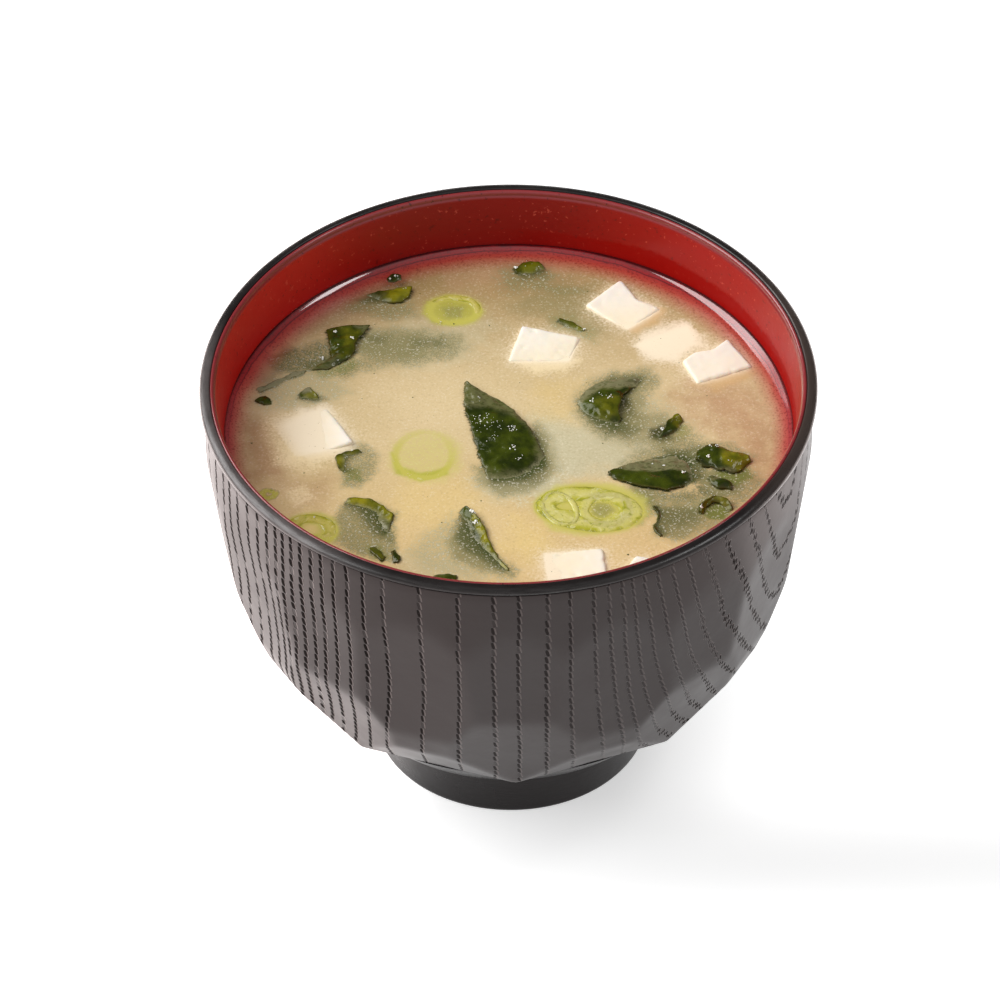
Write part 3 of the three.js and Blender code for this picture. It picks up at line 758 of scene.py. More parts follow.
def bowl_body():
    heights = [SKIRT + 0.3] + [SKIRT + 0.9 + i * 0.95 for i in range(58)]
    wall = [(WALL_RADIUS, h) for h in heights if h < 80.3] + [(WALL_RADIUS, 80.6)]
    outside = [(36.4, SKIRT), (41.0, SKIRT), (WALL_RADIUS - 0.3, SKIRT),
               (WALL_RADIUS - 0.08, SKIRT + 0.1)] + wall + [
        (55.15, 80.85), (54.97, 81.05), (54.93, 81.2), (55.05, 81.38), (55.4, 81.62),
        (55.78, 82.05), (55.96, 82.55)]
    bead = [(54.4 + 1.6 * math.cos(a), LIP_WIDEST + 0.95 * math.sin(a))
            for a in (math.pi / 2 * i / 9 for i in range(10))]
    inner = [(54.22, 83.97), (54.1, 83.86), (54.06, 83.6), (53.7, 82.9)]
    lining = [(radius + 0.35, height) for radius, height in reversed(INSIDE) if height > SKIRT]
    bm = turned(outside + bead + inner + lining, BODY_STEPS)
    for face in bm.faces:
        face.material_index = 1 if face.calc_center_median().z > 80.9 else 0
    for vert in bm.verts:
        radius = math.hypot(vert.co.x, vert.co.y)
        azimuth = math.atan2(vert.co.x, -vert.co.y)
        if radius > 50 and vert.co.z < 80.7:
            reach = wall_at(azimuth, max(vert.co.z, SKIRT + 0.1)) - (WALL_RADIUS - radius)
            vert.co.x *= reach / radius
            vert.co.y *= reach / radius
        # at the front the wall rises to the middle of the lip
        if radius > 54.6 and vert.co.z > 80.5:
            rise = (LIP_WIDEST - max(vert.co.z, 81.4)) / (LIP_WIDEST - 81.4)
            vert.co.z += FRONT_RISE * max(rise, 0) * (1 - smooth(0.7, 1.15, abs(azimuth)))
    bmesh.ops.recalc_face_normals(bm, faces=bm.faces)
    piece("bowl_body", bm, [WOOD, BLACK], ["bowl"])


def bowl_foot():
    profile = [(0, 6), (20.2, 6), (20.7, 5.8), (21.2, 0.3), (21.5, 0), (24.9, 0), (25.25, 0.12),
               (25.42, 0.4), (25.5, 0.75), (25.56, 1.05), (26.75, 9.3), (27.0, 10.1), (27.6, 10.8),
               (32.5, 15), (37.5, 20.8), (39.4, 24.4), (39.4, 25.0), (36.2, 25.0), (33.3, 22.0),
               (24.2, 16.6), (12, 13.1), (0, 13.1)]
    bm = turned(profile, FOOT_STEPS, closed=False)
    piece("bowl_foot", bm, [BLACK], ["bowl"])


def bowl_lining():
    ridge = [(53.05, 82.35), (53.12, 82.62), (53.3, 82.85), (53.34, 83.0), (53.26, 83.2),
             (53.3, 83.5), (53.48, 83.74), (53.72, 83.84), (53.92, 83.78), (54.02, 83.62),
             (54.0, 83.4)]
    wall = [tuple(p) for p in arc_between([(r, h, 0) for r, h in INSIDE[1:]], 4)]
    inner = [(0, 13.6)] + [(r, h) for r, h, _ in wall] + [(52.4, 77.2)] + ridge
    outer = [(53.62, 82.9)] + [(r + 0.33, h - 0.1) for r, h in reversed(INSIDE[2:])]
    bm = turned(inner + outer + [(12, 13.15), (0, 13.15)], LINING_STEPS, closed=False)
    piece("bowl_lining", bm, [RED], ["bowl"])


bowl_body()
bowl_foot()
bowl_lining()

# ---- floating pieces: outlines as rows of "x y" or "x y height over the broth" ----
TOFU = {
    "left": dict(outline="-33.1 7.9, -43.6 3.9, -38.6 -6, -28 -2.6",
                 top=-0.3, slope=(0.2, 0.02), depth=9.5),
    "centre": dict(outline="2.5 29.5, 13.6 26.5, 11.5 19.6, -0.3 19.8",
                   top=0.5, slope=(-0.03, 0.09), depth=9.5),
    "back": dict(outline="14.1 35.2, 21.1 42.2, 24.3 36.7, 26.8 35.8, 28.6 34.3, 22 28",
                 top=0.6, slope=(-0.02, 0.1), depth=9),
    "sunk": dict(outline="22.6 24.3, 31 29.3, 33.8 30.2, 36.9 24.4, 28 19.6",
                 top=-0.75, slope=(-0.1, 0.17), depth=8.5),
    "right": dict(outline="31.8 19.3, 34.1 21.8, 37.4 22.4, 40.5 25.4, 45.2 17.6, 34.5 13.1",
                  top=0.75, slope=(0, 0.05), depth=9),
    "front": dict(outline="5.6 -31.9, 16.8 -31, 17.9 -41.6, 6.7 -42.2",
                  top=0.35, slope=(0.07, 0), depth=9),
    "edge": dict(outline="22.5 -33.2, 30 -35.4, 27.2 -40.6, 19.6 -38.2",
                 top=0.7, slope=(0, 0.05), depth=7),
}

ONIONS = {
    "back": dict(tone=0.8, rings=[
        dict(centre=(-10, 34.6), size=(5.3, 4.4), wall=1.7, thick=2, top=-0.05,
             slope=(0.02, 0.05))]),
    "sunk": dict(tone=0.0, rings=[
        dict(centre=(-15.4, -5.4), size=(5.9, 7), wall=1.5, thick=2, top=-0.45,
             slope=(-0.02, -0.07))]),
    "big": dict(tone=0.15, rings=[
        dict(centre=(14.3, -20.4), size=(10.2, 6.4), wall=5.2, thick=2.4, top=0.12, turn=-10),
        dict(centre=(9.1, -20.2), size=(3.4, 5.1), wall=1.3, thick=2.2, top=0.14, turn=22),
        dict(centre=(17.4, -20.6), size=(5.2, 5.3), wall=2.4, thick=2.1, top=0.13, turn=-10)]),
    "left": dict(tone=0.9, rings=[
        dict(centre=(-35.9, -25.6), size=(5.2, 4.6), wall=3.2, thick=2, top=0.06,
             slope=(0.0, 0.03))]),
    "bit": dict(tone=0.6, rings=[
        dict(centre=(-43.5, -15.7), size=(1.9, 1.5), wall=1.2, thick=1.2, top=0.0)]),
}

LEAVES = {
    "centre": dict(
        left="-8.1 13.8 0.2, -8.1 7.2 0.4, -7 1.1 0.5, -5.6 -5.8 0.4, -4.2 -10.6 -0.1, "
             "-3 -14.2 -1.1",
        right="-7.3 13.7 0.2, -0.6 7.8 0.4, 3.2 2.3 0.6, 5.6 -3.4 0.2, 7.0 -8.4 -0.5, "
              "6 -13.6 -1.3", camber=0.5),
    "left_back": dict(
        left="-33.6 29.1 0.4, -32.9 24.1 0.3, -33 21 0.1, -36.2 18.1 -0.1",
        right="-25.5 30 0.6, -27.8 25.1 0.6, -28.8 21.7 0.3, -33.1 18.3 0"),
    "film": dict(
        left="-37.2 18.2 0.1, -39.8 17.2 0.1, -43.1 14.9 0.1, -46.1 12.9 0.1",
        right="-37.6 16.8 -0.2, -39.8 15.8 -0.3, -43.1 13.5 -0.3, "
              "-45.4 11.8 -0.3", camber=0.0, ripple=0.03),
    "back_left": dict(
        left="-27 39.1 -0.8, -24 39.8 0.2, -20 40.4 0.5, -17.6 40.8 0.5",
        right="-27 38 -1.4, -23.5 37.3 -0.4, -20.6 36.4 0.2, -18.2 37.8 0.4"),
    "bit_back": dict(
        left="-22.5 43.4 0.2, -21.1 44.7 0.4, -19.8 44.5 0.2",
        right="-22.1 42.6 -0.3, -20.9 42.7 0, -19.5 43.2 -0.2", camber=0.2, ripple=0.05),
    "back": dict(
        left="1 45.6 0.2, 3.1 47.4 0.5, 6.2 47.7 0.4",
        right="2.5 43.9 -0.9, 4.9 44.2 -0.8, 7.4 45.4 -0.6"),
    "right": dict(
        left="21.7 15 0.2, 15.8 12.9 0.2, 12.9 9.5 0.1, 13.1 6.3 -0.5, 16 2.8 -1.2",
        right="25 14.6 -0.5, 21.6 10.7 0.5, 20.4 6.8 0.8, 20.5 3.7 0.4, 19.9 1.4 -0.8"),
    "small_right": dict(
        left="30.7 4.6 0.5, 28.7 2.1 0.6, 27.9 -0.3 0.4, 26.5 -1.4 -0.4",
        right="31.5 4.2 0.2, 31.6 2.6 -0.3, 30.9 0.5 -0.8, 29.4 -1.6 -1.2"),
    "long_right": dict(
        left="17.8 -10.9 0.3, 22.5 -8.5 0.1, 26.5 -6.7 -0.2, 30.6 -5.8 -0.5, 35 -7.6 -1.3",
        right="18.3 -12.2 0.4, 22.1 -14.1 0.4, 27.6 -15.9 0.4, 31.8 -14.6 0.1, 35.4 -12 -0.9"),
    "curl_right": dict(
        left="34 -8 0.3, 34.7 -5.6 0.7, 36.9 -4.1 1, 40.1 -6 0.8, 43.4 -7 0.3",
        right="34.8 -9.1 0.1, 36.3 -9.9 0.3, 39.1 -10.9 0.4, 41.1 -11.2 0.2, "
              "43.6 -8.6 0.1", camber=0.6),
    "fold_right": dict(
        left="36 -12.3 0.2, 38.1 -12.8 0.4, 40.1 -14.1 0.3",
        right="36.3 -14.1 0, 37.7 -15.3 0.2, 40.2 -15.9 0.1"),
    "arch_right": dict(
        left="33.8 -21.9 0.4, 34.6 -20 0.9, 37.1 -18.2 1.2, 39.4 -19.3 0.9, 40.2 -21.3 0.2",
        right="34.9 -22.1 0, 35.5 -20.4 0.1, 37.2 -19.1 0.2, 38.7 -20 0, "
              "39.3 -21.6 -0.3", camber=0.05),
    "pale_right": dict(
        left="25.5 -19.8 0.1, 26.7 -22.2 0.15, 25.8 -26 0.15, 26.9 -28.1 0.1",
        right="29.2 -19 -2.2, 31.8 -21.2 -2.6, 32 -24.4 -2.6, 30.8 -27 -2.2", camber=0.0),
    "small_left": dict(
        left="-27 -4 0.2, -30.6 -4.9 0.3, -31.4 -7.2 0.3, -30.3 -10 -0.2",
        right="-26.4 -4.8 -0.5, -28.5 -6.1 -0.7, -28.8 -7.8 -0.8, -28.1 -10.2 -0.8", camber=0.05),
    "front_left": dict(
        left="-28.9 -17 0.2, -24.9 -17.9 0.4, -21.3 -21 0.4, -21.4 -24.7 0, -22.7 -27.9 -0.8",
        right="-30.2 -18.6 -0.5, -28.2 -20.9 -0.9, -26.8 -23.4 -1.2, -26.3 -26 -1.4, "
              "-26.1 -28.6 -1.7", camber=0.05),
    "front": dict(
        left="-8.7 -20.2 -0.3, -9.9 -23.3 -1, -10.6 -27 -1.5, -7.6 -31 -1.6, -3.1 -35 -1.4",
        right="-7.6 -19.8 0.6, -5.3 -23.3 0.7, -4.1 -27.3 0.4, -2.6 -32 0.3, "
              "-0.2 -36.6 0.1", camber=0.05),
    "dark_left": dict(
        left="-46.3 9.8 0.15, -44.8 11 0.2, -43.3 10.2 0.1",
        right="-45.7 8.9 0, -44.6 8.7 0, -43.4 8.9 0", camber=0.1, ripple=0.04),
    "grey_left": dict(
        left="-38.6 11.4 0.1, -36.5 13.1 0.2, -34.8 11.2 0.1",
        right="-37.9 10 -0.3, -36.1 9.9 -0.3, -34.8 9.7 -0.2", camber=0.1, ripple=0.04),
    "lip": dict(
        left="-13.8 -38.2 0.1, -11.9 -37.5 0.3, -9.3 -38.1 0.1",
        right="-13.2 -40 -0.3, -11.5 -40.4 -0.1, -9.8 -39.9 -0.2"),
    "shred": dict(
        left="9.4 32.1 0.15, 12.2 30.4 0.2, 14.3 28.4 0.1",
        right="8.6 31 -0.4, 10.8 29.7 -0.5, 13 28.4 -0.3", camber=0.1, ripple=0.04),
    "green_front": dict(
        left="-25.3 -30.4 0.1, -24.5 -32.2 0.2, -22.9 -33.9 0.1",
        right="-24.2 -29.9 -0.2, -23.3 -31.2 0, -22 -32.8 -0.1", camber=0.1, ripple=0.04),
    "dark_front": dict(
        left="-20.4 -31 0.15, -19.7 -32.7 0.2, -20 -34.5 0.15",
        right="-21.4 -31 -0.2, -21 -32.7 0, -21 -34.2 -0.1", camber=0.1, ripple=0.04),
}

# Soft shapes painted on a surface: outline as a row of "x y", softness of its edge, strength.
LIT = [  # thin parts of leaves that the light comes through
    ("-31 29, -27.6 28, -27.6 22, -31 21, -30 25", 1.5, 0.45),
    ("-23 40, -17 41.5, -17.8 36.5, -21.5 36", 2.0, 0.75),
    ("38.3 -4.5, 41 -5, 44.5 -8, 42.5 -11.5, 38.8 -10", 1.2, 0.8),
    ("-30 -16, -24 -17, -20.5 -21, -21 -24, -24 -22, -29 -20", 1.0, 0.85),
    ("-27 -3, -30 -4, -32 -7, -31 -11, -27 -9", 1.5, 0.7),
    ("-6.0 -20, -3.4 -28, 1 -36, -1.5 -38, -4.6 -30, -6.6 -23", 0.8, 0.95),
    ("33 -22, 34 -19, 37 -17.5, 40.5 -19, 41 -22", 1.0, 0.55),
    ("1 45, 3 48, 8 47, 7 44", 2.0, 0.35),
    ("30 5, 32 4, 31.5 1, 29.5 2.5", 0.8, 0.8),
    ("16 8, 20 9, 20.5 4, 17 3", 2.0, 0.3),
    ("-37.5 11, -36 13.5, -34 10", 1.0, 0.5),
    ("9 32, 12 31, 15 28, 12 28", 1.0, 0.6),
    ("-25.5 -30, -24.5 -33, -22 -34, -22 -31", 0.8, 0.6),
]
SHEEN_FILM = [  # parts of leaves greyed by a painted sheen of reflected light and a film of broth
    ("-9 15, -8.6 7.5, -6 6.6, -3 6.4, 1 3.8, 5 -1, 5 4, -1 10", 1.6, 0.7),
    ("3.6 2, 5 -3, 5.2 -7, 9 -10, 8 -3, 5 3", 1.4, 0.8),
    ("-5 -9.5, -2 -11, 3 -11, 6 -8.5, 9 -10, 7 -16, -5 -16", 2.8, 0.7),
    ("12 7, 13 12, 16 15.5, 21 17.5, 27 16, 23 12.6, 20 11.4, 17 11.4, 14.5 9.2", 1.0, 1.25),
    ("17.5 -9.4, 25 -5, 31 -3, 33.6 -3.5, 34 -11, 33 -11.1, 29 -10.6, 26 -11.2, "
     "21 -10.7", 0.5, 1.15),
    ("-28.6 29.4, -26.6 30.4, -25 29, -26.6 27.6", 0.6, 0.7),
    ("35.5 -10.5, 41 -10.5, 39.5 -12.9, 37.4 -13.4, 36 -15", 0.5, 0.85),
    ("-38 19, -31 21.5, -33 17, -39 15", 1.2, 0.5),
    ("-48 19, -36 20, -36 11.6, -48 11.6", 0.8, 1.4),
    ("-29 -19, -25 -20, -21 -23.5, -20 -30, -30 -30", 1.2, 0.7),
    ("-28 40, -22.5 39, -23.5 36, -28 36", 1.6, 0.6),
    ("-10 -19, -7.4 -25, -6.6 -28, -5 -33, -3 -38, -13 -38", 1.4, 0.75),
]
WASH = {"deep": (60, 64, 30), "leaf": (98, 100, 62), "haze": (138, 132, 90),
        "mist": (174, 165, 126), "silver": (206, 198, 164), "brown": (142, 112, 84),
        "olive": (112, 118, 56), "amber": (206, 164, 100), "glow": (246, 224, 178),
        "sand": (190, 152, 114), "onion": (204, 196, 104), "lime": (176, 176, 52),
        "pith": (150, 146, 84), "honey": (232, 204, 140), "curd": (254, 238, 210)}
CLOUDS = [  # patches on the broth's colour, the sand and brown ones darker by the wall: colour, outline, softness, strength
    ("sand", "-50 4, -44 3, -41 -5, -41 -11, -47 -11", 8.0, 0.8),
    ("sand", "-18 47, -8 42, 6 41, 14 44, 8 50, -10 51", 8.0, 0.75),
    ("brown", "-42 30, -32 32, -22 36, -20 44, -32 42", 8.0, 0.55),
    ("sand", "36 16, 44 12, 50 -4, 46 -14, 40 0, 32 8", 12.0, 0.85),
    ("silver", "5 4, 12 4, 20 0, 26 -4, 20 -10, 12 -12, 8 -12", 8.0, 0.9),
    ("silver", "-5 -12, 10 -12, 8 -17, -4 -16", 5.0, 0.8),
    ("silver", "-20 20, -8 22, -4 30, -16 31, -26 27", 9.0, 0.6),
    ("haze", "4 42, 16 42, 15 35, 17 28, 9 31, 2 36", 7.0, 0.55),
    ("honey", "-20 -13, -8 -12, -7 -20, -14 -26, -20 -22", 7.0, 0.6),
    ("honey", "1 -22, 6 -25, 8 -30, 3 -34, -1 -31", 5.0, 0.9),
    ("honey", "5 14, 12 14, 11 4, 6 4", 7.0, 0.5),
    ("haze", "27 -20, 35 -20, 38 -24, 31 -28, 28 -26", 6.0, 0.6),
    ("silver", "-20 -32, -10 -34, -6 -39, -20 -38", 5.0, 0.5),
    ("sand", "-40 -12, -33 -12, -33 -18, -38 -19", 6.0, 0.5),
]
SUNK = [  # leaves, curd and onion that lie under the surface, the topmost last
    ("mist", "-46 17, -38 18, -33 18, -29 12, -33 9, -39 7, -47 9", 4.0, 0.65),
    ("brown", "-47.5 19, -44 22, -41 18.5, -44 14, -48 14", 2.5, 0.5),
    ("leaf", "-44.5 21.5, -41 24.5, -36.5 25, -33 26, -31 21, -35 18.2, -40 17.6, "
     "-43 19", 2.6, 0.75),
    ("haze", "-28.4 27, -24 29, -16 29, -16 21, -24 19, -30 16, -32 19, -27.6 22", 3.4, 0.7),
    ("leaf", "-44.5 21.3, -41 23.8, -40 22.4, -43.6 20.9", 1.2, 0.8),
    ("leaf", "-38 19.8, -33.5 22, -32.5 20.2, -36.5 18.4", 1.4, 0.7),
    ("haze", "-27.5 29, -22 28.6, -15 28.4, -9 27.2, -8 24, -12 21, -18 20, -24 21, "
     "-28 24", 4.5, 0.8),
    ("leaf", "-17.5 26.4, -12 26.4, -11.6 24.4, -17 24.4", 3.0, 0.55),
    ("leaf", "-25.5 28, -22 27.4, -23 25.6, -25.6 26", 2.0, 0.5),
    ("haze", "-31 37.6, -26 39, -21 37, -17.5 36.6, -17 33.4, -22 32.4, -28 34.4", 3.2, 0.75),
    ("leaf", "-28.5 37.8, -24 39.4, -21.5 39, -22.6 36.8, -26.5 36.8", 1.4, 0.8),
    ("olive", "-32 20, -28.5 22.4, -27.4 19.6, -30 17, -34 15.8, -35.5 17.6", 2.2, 0.6),
    ("leaf", "-38.6 10.4, -36.6 13.2, -35 11.6, -33.4 10, -35.5 9.2", 1.6, 0.75),
    # painted shadow of the small leaf bit at the back
    ("deep", "-22.8 44, -20 44.6, -18.6 42, -19.8 40.9, -23 41.6", 1.6, 0.7),
    ("haze", "-1.5 45.6, 2 47, 7.5 46.4, 9 43.6, 6 40.6, 1 39.6, -1.5 41.6", 4.0, 0.75),
    ("leaf", "1 45.5, 7.6 46, 7.4 43.6, 3 43", 2.0, 0.6),
    ("haze", "6 41, 10 41.2, 15 40.2, 14.4 38.8, 9 38.8", 1.8, 0.6),
    ("olive", "8 32.6, 12 32.2, 15.5 28.6, 16.4 25, 14 26, 9.4 29.4", 3.0, 0.5),
    ("mist", "17 10, 27 10, 30 2, 28 -3, 22 -4, 17 -1", 6.0, 0.7),
    ("haze", "12.4 10, 14.6 14, 19 17, 26 17.4, 27.6 14, 25.4 11, 24.4 7, 24.6 3, 22 -0.6, 18 -1, "
     "14 2.6, 12 6", 3.0, 0.8),
    ("leaf", "13 9, 19 15.8, 25 15.6, 22.6 10.6, 22 5, 20.6 0.8, 17 1, 14 5", 2.0, 0.85),
    ("deep", "21.4 9, 23 5, 21 0.6, 18 0.4, 20 4", 2.0, 0.7),
    ("haze", "20 6, 28 5, 33 2, 31.5 -3, 27 -4, 22 -3", 3.5, 0.6),
    ("leaf", "17 2.6, 21 3, 24 1, 22 -1.6, 18 -1.2", 2.4, 0.6),
    ("haze", "22 -14.5, 26 -15, 27.5 -19, 26.8 -22, 24.5 -19", 1.6, 0.8),
    ("haze", "40 -10, 44.5 -10.5, 46 -13, 43 -19, 39.6 -20, 40 -14", 2.4, 0.75),
    ("deep", "25.6 1, 28 2.4, 28.6 -0.4, 30 -1.6, 28 -2.8, 25.6 -1", 1.4, 0.95),
    ("pith", "30.4 3.6, 32.4 2, 33 -0.6, 30.6 -2", 1.6, 0.75),
    ("silver", "-7 -12, 2 -19, 10 -14, 11 -8, 8 0, 6 4, 4 -8", 5.0, 0.5),
    ("haze", "-6 -9, -5.4 -14, -1 -16.6, 5 -15, 8.6 -10, 8 -2, 5 3, 3 -6", 2.6, 0.8),
    ("leaf", "-5.2 -9, -3 -12.4, 3 -12.4, 7 -9, 6.8 -3, 4.6 1, 2 -6", 1.6, 0.8),
    ("haze", "20 -8.6, 24 -4.6, 28 -1.4, 34 -1, 37 -4, 36 -9, 28 -10", 3.2, 0.7),
    ("leaf", "27 -8, 29.6 -4.4, 35 -3.6, 36 -8, 31 -10", 2.2, 0.6),
    ("haze", "21 -13.6, 30 -16.6, 37 -15.6, 40 -19, 35 -21, 27 -20, 21 -16", 3.6, 0.8),
    ("leaf", "26 -15.6, 33 -16.4, 34.6 -18, 28 -18", 2.0, 0.5),
    ("leaf", "33.5 -12.5, 36 -11, 41 -11, 42 -15, 39 -17.6, 34 -17", 2.0, 0.8),
    ("leaf", "28 -5, 34 -4.4, 36 -8, 35 -12, 32 -15, 31 -9", 1.8, 0.8),
    ("haze", "32.4 -6, 35.6 -2.6, 40.4 -3, 44.4 -6.6, 40 -6.4", 1.8, 0.6),
    ("haze", "35 -9.6, 38 -10, 42.4 -10.6, 42.2 -14, 42 -17.6, 37 -17, 34.6 -13", 1.8, 0.9),
    ("olive", "37.6 -10.6, 43.6 -9.4, 43.8 -12.6, 40.8 -14.2, 37.8 -13", 1.4, 0.85),
    ("haze", "34 -20, 37 -18, 40.5 -19, 42 -21.6, 39 -25, 35 -27, 29.6 -29.4, 26.8 -28, 26.4 -24, "
     "28 -20", 2.6, 0.6),
    ("haze", "27 -20.6, 34 -19.6, 35 -24, 31 -28.6, 27 -27.4", 1.6, 0.7),
    ("leaf", "29 -21, 34 -21, 34 -24.2, 30.6 -25, 28 -24", 2.6, 0.6),
    ("olive", "34.8 -21.8, 35.4 -19.6, 37 -18.4, 38.8 -19.4, 39.8 -21.6, 38.6 -23.6, "
     "36 -23.4", 0.8, 0.95),
    ("haze", "-30.8 -2.4, -26 -1.8, -24 -5, -24.4 -10, -27 -14, -30 -13.6, -30.6 -8", 2.4, 0.7),
    ("olive", "-29.8 -9, -27.2 -8.8, -27 -12, -29.4 -12.2", 1.4, 0.7),
    ("haze", "-30.6 -19, -28 -16.8, -23.4 -18.6, -20.6 -21, -20.8 -26, -20 -30, -21.4 -33.6, "
     "-27 -32, -31.4 -28, -31.2 -22", 2.0, 0.85),
    ("leaf", "-27 -20, -22 -21.4, -21.6 -25, -21.2 -28.4, -24 -26, -26 -23", 2.2, 0.7),
    ("olive", "-25.6 -30, -23 -29.8, -21.6 -33.6, -24 -33.6", 1.6, 0.75),
    ("mist", "-10 -22, -14 -26, -18 -31, -15 -36, -6 -38.4, 0 -39, -4 -33, -6 -26", 3.6, 0.6),
    ("haze", "-7.4 -20.6, -9 -24.4, -11.2 -28.4, -10.4 -33, -5 -36.4, 0.6 -38, 1.4 -36.6, -3 -32, "
     "-4.4 -27, -5.4 -22.6", 2.4, 0.85),
    ("leaf", "-8.6 -23, -9.8 -27.6, -8 -31.4, -3.8 -34.6, -1 -36.6, -3.4 -31, -5 -26", 1.8, 0.85),
    ("amber", "25.5 35.4, 29 34.6, 27.6 30.4, 23.4 27.8, 21.8 29.6", 1.8, 0.85),
    ("amber", "34 13.2, 40 16.4, 45.6 17.4, 44 14.4, 38 11.8", 2.2, 0.7),
    ("curd", "-33.4 8.4, -38 6.8, -40.6 3.6, -38.4 -4, -33 -5, -28.4 -2.8", 3.4, 0.95),
    ("curd", "23 24.6, 26 28.4, 33.4 30.8, 34.8 27, 36.4 24, 33.2 23, 31 20, 26 20", 2.8, 0.85),
    ("glow", "2 20.4, 12.6 20.4, 10.6 17.4, 4 17.2", 2.6, 0.8),
    ("glow", "-41 -4, -32 -2, -31.4 -6.4, -36 -8.8, -41 -7", 4.0, 0.7),
    ("glow", "-44 4, -38 6, -36 -6, -42 -7", 4.0, 0.5),
    ("glow", "-40.6 -14.6, -37.4 -13.6, -35 -17, -38.6 -19", 1.6, 0.5),
    ("olive", "22.6 -15.4, 25.6 -18, 26 -22, 23 -25, 21.6 -22, 22.6 -18", 1.8, 0.6),
    ("onion", "4.6 -20, 8 -14.4, 14.6 -13, 20.6 -14.4, 24.6 -18, 25 -22, 21 -25.8, 13 -27.4, "
     "7.4 -26", 1.8, 0.85),
    ("pith", "14.8 -17, 17.6 -17, 18.8 -21, 17 -24, 14.8 -22", 1.8, 0.85),
    ("onion", "-21 -2, -18 0.4, -12 0.4, -9 -3, -9 -9, -12 -12.4, -18 -12.6, -21.4 -8", 2.6, 0.42),
    ("lime", "-21.4 -4.6, -20 -8.4, -16 -10.4, -11.4 -8.8, -11 -10.8, -16 -12.4, "
     "-20.6 -10.4", 1.0, 0.8),
    ("lime", "-15 37, -11 38.8, -7 37.4, -4.4 34, -6.4 31.2, -10 30, -14 31.2, -15.6 34", 1.6, 0.7),
    ("pith", "-12 35.4, -8.4 35.4, -8.6 32.6, -11.6 32.4", 1.4, 0.7),
    ("lime", "-40.4 -22.6, -35 -20.6, -31.6 -22, -32 -27.6, -36 -29", 1.6, 0.6),
    ("honey", "-37.6 -23.6, -34.4 -23.4, -34.4 -27, -37 -27", 1.8, 0.8),
]
# these are smooth, not broken into grains
CURDLIKE = ("curd", "amber", "glow", "honey", "onion", "lime", "brown")


def washed(point, outline, soft, drift):
    """How far inside a soft outline a point is, 0 to 1, with a wandering edge."""
    x, y = point
    inside, least = False, 1e9
    for (ax, ay), (bx, by) in zip(outline, outline[1:] + outline[:1]):
        dx, dy = bx - ax, by - ay
        t = min(max(((x - ax) * dx + (y - ay) * dy) / (dx * dx + dy * dy), 0.0), 1.0)
        least = min(least, (x - ax - dx * t) ** 2 + (y - ay - dy * t) ** 2)
        if (ay > y) != (by > y) and x < ax + (y - ay) * dx / dy:
            inside = not inside
    away = math.sqrt(least) * (-1 if inside else 1)
    away += soft * (0.30 * noise.noise((x * 0.35, y * 0.35, drift))
                    + 0.18 * noise.noise((x * 1.1, y * 1.1, drift)))
    return 1 - smooth(-0.5 * soft, 0.6 * soft, away)


def circled(shapes):
    """Reads each shape's outline and adds a circle that holds it and its soft edge."""
    out = []
    for *label, outline, soft, strength in shapes:
        outline = points(outline)
        cx, cy = ((min(p[k] for p in outline) + max(p[k] for p in outline)) / 2 for k in (0, 1))
        reach = max(math.hypot(x - cx, y - cy) for x, y in outline) + soft
        out.append((cx, cy, reach * reach, label, outline, soft, strength))
    return out


def shares(spot, circles):
    """The label and the share of each shape that reaches a point."""
    for cx, cy, reach, label, outline, soft, strength in circles:
        if (spot[0] - cx) ** 2 + (spot[1] - cy) ** 2 < reach:
            yield label, strength * washed(spot, outline, soft, cx)


def most_of(spots, circles):
    """For each spot the strongest share that any of the shapes lays on it."""
    return [max((share for _, share in shares(spot, circles)), default=0.0) for spot in spots]


LIT, SHEEN_FILM, CLOUDS, SUNK = circled(LIT), circled(SHEEN_FILM), circled(CLOUDS), circled(SUNK)

solids = {}  # the floating pieces by kind


def remember(kind, made):
    solids.setdefault(kind, []).append(made)


def trees():
    """One tree of faces in millimetres for each kind of floating piece."""
    out = []
    for kind, members in solids.items():
        corners, faces = [], []
        for made in members:
            start = len(corners)
            corners += [v.co * 1000 for v in made.data.vertices]
            faces += [tuple(start + k for k in p.vertices) for p in made.data.polygons]
        out.append((kind, BVHTree.FromPolygons(corners, faces)))
    return out


def first_hit(forest, start, ray, far):
    """Distance, height and kind of the nearest piece that a ray meets, if any."""
    best = None
    for kind, tree in forest:
        point, _, _, distance = tree.ray_cast(start, ray, far)
        if point is not None and (best is None or distance < best[0]):
            best = (distance, point.z, kind)
    return best


def from_above(forest, x, y):
    return first_hit(forest, Vector((x, y, LEVEL + HIGH_UP)), Vector((0, 0, -1)), DEEP_DOWN)


